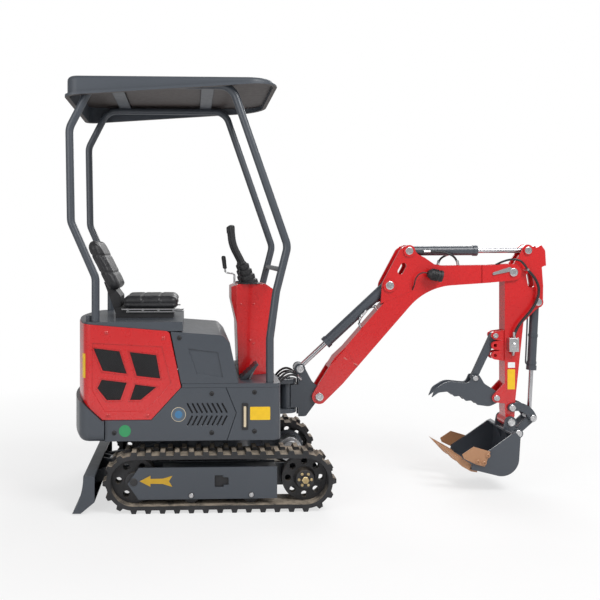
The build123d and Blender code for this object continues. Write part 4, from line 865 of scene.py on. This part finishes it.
lamp_route = ((1.214, -0.092, 1.235), (1.176, -0.094, 1.246), (1.140, -0.086, 1.214), (1.136, -0.068, 1.160),
              (1.128, -0.044, 1.132))
lamp_lead = 0.0036
clamp_profile = ((0.024, -0.008), (0.0275, -0.008), (0.0275, 0.008), (0.024, 0.008), (0.024, -0.008))
clamp_reach = (0.20, 0.36)
pipe_radius = 0.0045
pipe_bends = ((0.065, 0.020), (0.065, 0.040), (0.110, 0.038), (0.330, 0.036), (0.372, 0.036), (0.372, 0.020))


def hose(name, route, radius, body=None, replaced=()):
    """A hose along a route, and the points of its middle line."""
    path = [vert.co.copy() for vert in mesh_of(smooth_curve(route, 0.0)).vertices]
    return tube(name, route, radius, body, "black_plastic", replaced, "hose_rubber"), path


def ferrule(shape, place, way, radius):
    """A crimped hose end with its nut."""
    lathe(shape, place - way * 0.004, way, ((0, 0), (radius * 1.5, 0), (radius * 1.5, 0.012), (0, 0.012)), 6)
    shell = radius * 1.3
    lathe(shape, place, way, ((0, 0.006), (shell, 0.006), (shell, 0.016), (radius * 1.2, 0.018),
                              (shell, 0.020), (shell, 0.030), (radius * 1.12, 0.034), (0, 0.034)), 20)


class EXCAVATOR_OT_hoses(bpy.types.Operator):
    """Run the hydraulic hoses and crimp their ends"""
    bl_idname = "excavator.hoses"
    bl_label = "Hoses"

    def execute(self, context):
        radius = settings("edges").hose
        route = [spot(*point) for point in arm_route]
        hose("arm_hose_skin", route, radius * arm_gauge, "arm", ["arm_hose"])
        ends = {"arm": [(route[-1], UP), (spot(*arm_elbow), RIGHT)]}
        rows = list(hoses)
        for number, y in enumerate(nose_rows):
            lean = nose_lean * (number % 2)
            points = [(x, y * share, z + lean * leans) for x, share, z, leans in nose_route]
            rows.append(("nose_hose_" + str(number + 1), "upper", "swing_post", points))
        for name, first, last, points in rows:
            route = [spot(*point) for point in points]
            thick = radius * hose_gauge.get(name.split("_")[0], 1.0)
            piece, path = hose(name, route, thick)
            # A blend across the arm cylinder's small turn isn't steady, so its hoses stay with the boom
            if last == "arm_barrel":
                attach(piece, first)
            else:
                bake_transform(piece)
            if name != "arm_feed_hose":
                if first != "upper":
                    ends.setdefault(first, []).append((route[0], (route[1] - route[0]).normalized()))
                ends.setdefault(last, []).append((route[-1], (route[-2] - route[-1]).normalized()))
        for body, places in ends.items():
            shape = bmesh.new()
            for place, way in places:
                ferrule(shape, place, way, radius)
            add_fitting(body + "_hose_ends", shape, body, "pin_steel")
        self.ram_pipe()
        self.lamp_cord()
        return {"FINISHED"}

    def lamp_cord(self):
        """The lamp's lead, from the back of its housing into the boom."""
        route = [spot(*point) for point in lamp_route]
        piece, path = hose("lamp_cord", route, lamp_lead, "boom")

    def ram_pipe(self):
        """The steel pipe and its clamps along the bucket cylinder."""
        base = pins["bucket_barrel_turn"]
        down = (pins["bucket_link_turn"] - base).normalized()
        beside = Vector((down.z, 0, -down.x))
        shape = bmesh.new()
        for reach in clamp_reach:
            lathe(shape, base + down * reach, down, clamp_profile, 32)
        add_fitting("bucket_ram_clamps", shape, "bucket_barrel", "dark_paint")
        route = [base + down * along + beside * out for along, out in pipe_bends]
        tube("bucket_ram_pipe", route, pipe_radius, "bucket_barrel", "dark_paint")


# Seat
cushion_seams = (0.36, 0.66)
back_seams = (0.38, 0.68)
welt_share = 0.40
back_start = 0.013
pad_corner = 0.014
seam_half = 0.005
stuffing_pressure = 4.0
stuffing_frames = 20
slide_gap = 0.008
slide_bolts = (-0.38, -0.13, 0.13, 0.38)
release_radius = 0.004
release_rows = (-0.150, -0.060)
release_bend = ((-0.06, 0.018), (0.006, 0.020), (0.016, 0.016))


class EXCAVATOR_OT_seat(bpy.types.Operator):
    """Stuff the seat's cushion and back and add its slides"""
    bl_idname = "excavator.seat"
    bl_label = "Seat"

    def execute(self, context):
        low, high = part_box("seat_cushion")
        across = [low.x + (high.x - low.x) * share for share in cushion_seams]
        welt = low.z + (high.z - low.z) * welt_share
        self.pad("seat_cushion", lambda place: min(
            [abs(place.x - line) for line in across if place.z > welt] + [abs(place.z - welt)]), low.z)
        low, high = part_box("seat_back")
        up = [low.z + (high.z - low.z) * share for share in back_seams]
        self.pad("seat_back", lambda place: min(abs(place.z - line) for line in up), low.z, back_start)
        self.slides()
        return {"FINISHED"}

    def pad(self, node, seam, rest, start=None):
        """A stuffed pad: the solid drawn in, remeshed, blown up as cloth, then sewn."""
        seat = settings("seat")
        shape = rounded_copy(node, pad_corner)
        bmesh.ops.recalc_face_normals(shape, faces=shape.faces)
        for vert in shape.verts:
            vert.co -= vert.normal * (start or seat.start)
        piece = link_mesh(node + "_pad", shape)
        voxels = piece.modifiers.new("voxels", "REMESH")
        voxels.mode = "VOXEL"
        voxels.voxel_size = seat.voxel
        self.apply(piece)
        self.inflate(piece)
        normals = [vert.normal.copy() for vert in piece.data.vertices]
        for vert, normal in zip(piece.data.vertices, normals):
            depth = seat.seam * exp(-(seam(vert.co) / seam_half) ** 2)
            vert.co -= normal * depth
            vert.co.z = max(vert.co.z, rest)
        piece.data.shade_smooth()
        piece.data.materials.append(material("seat_vinyl"))
        smooth = piece.modifiers.new("smooth", "SUBSURF")
        smooth.levels = smooth.render_levels = 1
        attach(piece, "upper")
        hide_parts(node)

    def inflate(self, piece):
        """Blow the pad up as cloth, with a limit on how far a point moves."""
        limit = settings("seat").swell
        before = [vert.co.copy() for vert in piece.data.vertices]
        cloth = piece.modifiers.new("stuffing", "CLOTH")
        cloth.settings.use_pressure = True
        cloth.settings.uniform_pressure_force = stuffing_pressure
        cloth.settings.effector_weights.gravity = 0.0
        cloth.point_cache.frame_start = 1
        cloth.point_cache.frame_end = stuffing_frames
        for step in range(1, stuffing_frames + 1):
            bpy.context.scene.frame_set(step)
        self.apply(piece)
        bpy.context.scene.frame_set(1)
        for vert, place in zip(piece.data.vertices, before):
            move = vert.co - place
            if move.length > limit:
                vert.co = place + move.normalized() * limit

    def apply(self, piece):
        """Bake the modifiers into the piece's mesh."""
        made = baked(piece)
        piece.modifiers.clear()
        old = piece.data
        piece.data = made
        bpy.data.meshes.remove(old)

    def slides(self):
        """The seat's steel runners, their bolts and the release bar."""
        low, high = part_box("seat_cushion")
        base_low, base_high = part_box("seat_base")
        shape = bmesh.new()
        for y in (base_low.y - slide_gap, base_high.y + slide_gap):
            middle = Vector(((low.x + high.x) / 2, y, low.z - 0.010))
            bar(shape, middle + UP * 0.002, (high.x - low.x - 0.010, 0.014, 0.007))
            bar(shape, middle - UP * 0.012, (high.x - low.x - 0.060, 0.010, 0.006))
            way = LEFT if y > 0 else RIGHT
            for share in slide_bolts:
                hex_bolt(shape, middle + Vector((share * (high.x - low.x), way.y * slide_gap, 0)), way, 0.006)
        add_fitting("seat_slides", shape, "upper", "pin_steel")
        near, far = ([Vector((high.x + along, y, low.z - drop)) for along, drop in release_bend]
                     for y in release_rows)
        tube("seat_release", near + far[::-1], release_radius, "upper", "pin_steel")


# Controls and lamp
lever_rows = (-0.040, 0.040)
stick_rows = (-0.105, 0.105)
tread_rows = (-0.250, 0.250)
grip_way = Vector((-0.124, 0, 0.992)).normalized()
grip_profile = ((0, 0), (0.007, 0), (0.010, 0.004), (0.0102, 0.030), (0.0112, 0.056), (0.0108, 0.068),
                (0.007, 0.074), (0, 0.075))
cap_way = Vector((-0.06, 0, 1)).normalized()
cap_profile = ((0.0172, -0.030), (0.0186, -0.028), (0.0190, 0.0), (0.0165, 0.008), (0.008, 0.012),
               (0, 0.0125))
boot_profile = ((0.050, 0), (0.066, 0), (0.066, 0.004), (0.060, 0.007), (0.050, 0.007), (0.050, 0))
tread_lean = radians(50.5)
tread_size = (0.006, 0.112, 0.006)
lamp_back = (1.208, -0.092, 1.236)
lamp_tilt = radians(-12)
lamp_ribs = (0.026, 0.036, 0.046, 0.056)
rib_profile = ((0.029, -0.0018), (0.0345, -0.0018), (0.0345, 0.0018), (0.029, 0.0018), (0.029, -0.0018))
lens_along = 0.083
lens_profile = ((0.0300, 0), (0.0300, 0.0022), (0.022, 0.0052), (0.011, 0.0070), (0, 0.0075))


class EXCAVATOR_OT_controls(bpy.types.Operator):
    """Add lever grips, grip caps, boot rings, pedal treads and the lamp's rings and lens"""
    bl_idname = "excavator.controls"
    bl_label = "Controls"

    def execute(self, context):
        grips = bmesh.new()
        for y in lever_rows:
            lathe(grips, spot(0.0455, y, 1.262), grip_way, grip_profile)
        add_fitting("lever_grips", grips, "upper", "black_plastic")
        caps = bmesh.new()
        for y in stick_rows:
            lathe(caps, spot(0.0775, y, 1.500), cap_way, cap_profile)
            lathe(caps, spot(0.179, y, 1.1792), UP, boot_profile, 36)
        add_fitting("grip_caps", caps, "upper", "black_plastic")
        treads = bmesh.new()
        lean = Matrix.Rotation(-tread_lean, 4, "Y")
        for y in tread_rows:
            for step in range(5):
                share = 0.12 + 0.19 * step
                place = spot(0.112 + share * 0.094, y, 0.671 + share * 0.086)
                bar(treads, place, tread_size, lean)
        add_fitting("pedal_treads", treads, "upper", "dark_paint")
        self.lamp()
        return {"FINISHED"}

    def lamp(self):
        """The lamp's cooling rings and its lens."""
        way = Vector((cos(lamp_tilt), 0, sin(lamp_tilt)))
        back = spot(*lamp_back)
        rings = bmesh.new()
        for along in lamp_ribs:
            lathe(rings, back + way * along, way, rib_profile, 36)
        add_fitting("lamp_rings", rings, "boom", "black_plastic")
        lens = bmesh.new()
        lathe(lens, back + way * lens_along, way, lens_profile, 36)
        add_fitting("lamp_lens", lens, "boom", "black_plastic", "lamp_lens")


# Studio
lights = (("key", (2.4, -3.2, 4.8), 2.4, 215.0), ("fill", (-3.4, -3.4, 2.4), 3.0, 70.0),
          ("back", (1.5, 4.0, 4.0), 3.0, 140.0))
aim = Vector((0.0, 0.0, 1.0))
sensor = 36.0
floor_gap = 0.0005
sky_light = 0.40


class EXCAVATOR_OT_studio(bpy.types.Operator):
    """Set the floor, the soft lights and the camera"""
    bl_idname = "excavator.studio"
    bl_label = "Studio"

    def execute(self, context):
        scene = context.scene
        scene.view_settings.view_transform = "Standard"
        self.floor()
        self.sky(scene)
        for name, place, size, power in lights:
            lamp = bpy.data.lights.new(name, "AREA")
            lamp.size = size
            lamp.energy = power
            holder = link(name, lamp)
            holder.location = place
            holder.rotation_euler = (aim - Vector(place)).to_track_quat("-Z", "Y").to_euler()
        view = settings("view")
        camera = bpy.data.cameras.new("camera")
        camera.lens = view.lens
        camera.sensor_width = sensor
        camera.shift_x, camera.shift_y = view.shift
        eye = link("camera", camera)
        eye.location = (slew_x + view.stand[0], view.stand[1], view.stand[2])
        eye.rotation_euler = (pi / 2, 0.0, -view.yaw)
        scene.camera = eye
        return {"FINISHED"}

    def floor(self):
        """A pale floor that takes soft shadows and turns plain white to the camera further out."""
        shape = bmesh.new()
        bmesh.ops.create_grid(shape, x_segments=1, y_segments=1, size=30.0)
        floor = link_mesh("floor", shape)
        floor.location.z = cad_box[0].z - floor_gap
        made = Surface("floor")
        made.set(Base_Color=made.blend(made.noise(3.0), (0.80, 0.80, 0.80), (0.84, 0.84, 0.84)),
                 Roughness=0.9)
        glow = made.node("ShaderNodeEmission", {"Color": (1, 1, 1, 1), "Strength": 1.0})
        far = made.node("ShaderNodeVectorMath", {0: made.place}, operation="LENGTH").outputs["Value"]
        fade = made.stretch(far, 0.66, 1.0, 1.6, 4.0)
        seen = made.product(made.node("ShaderNodeLightPath").outputs["Is Camera Ray"], fade)
        mix = made.node("ShaderNodeMixShader", {0: seen, 1: made.shader.outputs[0], 2: glow.outputs[0]})
        made.feed(made.tree.nodes["Material Output"].inputs["Surface"], mix.outputs[0])
        floor.data.materials.append(made.material)

    def sky(self, scene):
        """A plain world: white where it is seen, softer where it lights."""
        world = bpy.data.worlds.new("studio")
        scene.world = world
        world.use_nodes = True
        tree = world.node_tree
        ground = tree.nodes["Background"]
        seen = tree.nodes.new("ShaderNodeLightPath").outputs["Is Camera Ray"]
        level = tree.nodes.new("ShaderNodeMapRange")
        level.inputs["To Min"].default_value = sky_light
        level.inputs["To Max"].default_value = 1.0
        tree.links.new(seen, level.inputs["Value"])
        tree.links.new(level.outputs["Result"], ground.inputs["Strength"])
        ground.inputs["Color"].default_value = (1, 1, 1, 1)


operators = (EXCAVATOR_OT_skins, EXCAVATOR_OT_screens, EXCAVATOR_OT_fasteners, EXCAVATOR_OT_plates,
             EXCAVATOR_OT_ironwork, EXCAVATOR_OT_hoses, EXCAVATOR_OT_seat, EXCAVATOR_OT_controls,
             EXCAVATOR_OT_studio)
groups = {"paint": ExcavatorPaint, "view": ExcavatorView, "edges": ExcavatorEdges, "seat": ExcavatorSeat}


class EXCAVATOR_PT_dressing(bpy.types.Panel):
    """Lists the settings and the dressing steps"""
    bl_label = "Excavator dressing"
    bl_idname = "EXCAVATOR_PT_dressing"
    bl_space_type = "VIEW_3D"
    bl_region_type = "UI"
    bl_category = "Excavator"

    def draw(self, context):
        for name in groups:
            for key in settings(name).bl_rna.properties.keys()[2:]:
                self.layout.prop(settings(name), key)
        for operator in operators:
            self.layout.operator(operator.bl_idname)


def register():
    """Register the classes and hang the settings on the scene."""
    for kind in (*groups.values(), *operators, EXCAVATOR_PT_dressing):
        bpy.utils.register_class(kind)
    for name, group in groups.items():
        setattr(bpy.types.Scene, "excavator_" + name, bpy.props.PointerProperty(type=group))


def unregister():
    """Take the settings and the classes away again."""
    for name in groups:
        delattr(bpy.types.Scene, "excavator_" + name)
    for kind in (EXCAVATOR_PT_dressing, *reversed(operators), *groups.values()):
        bpy.utils.unregister_class(kind)


def main():
    """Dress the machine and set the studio."""
    register()
    bpy.ops.excavator.hoses()
    bpy.ops.excavator.skins()
    bpy.ops.excavator.screens()
    bpy.ops.excavator.fasteners()
    bpy.ops.excavator.plates()
    bpy.ops.excavator.ironwork()
    bpy.ops.excavator.seat()
    bpy.ops.excavator.controls()
    bpy.ops.excavator.studio()


if __name__ == "__main__":
    main()
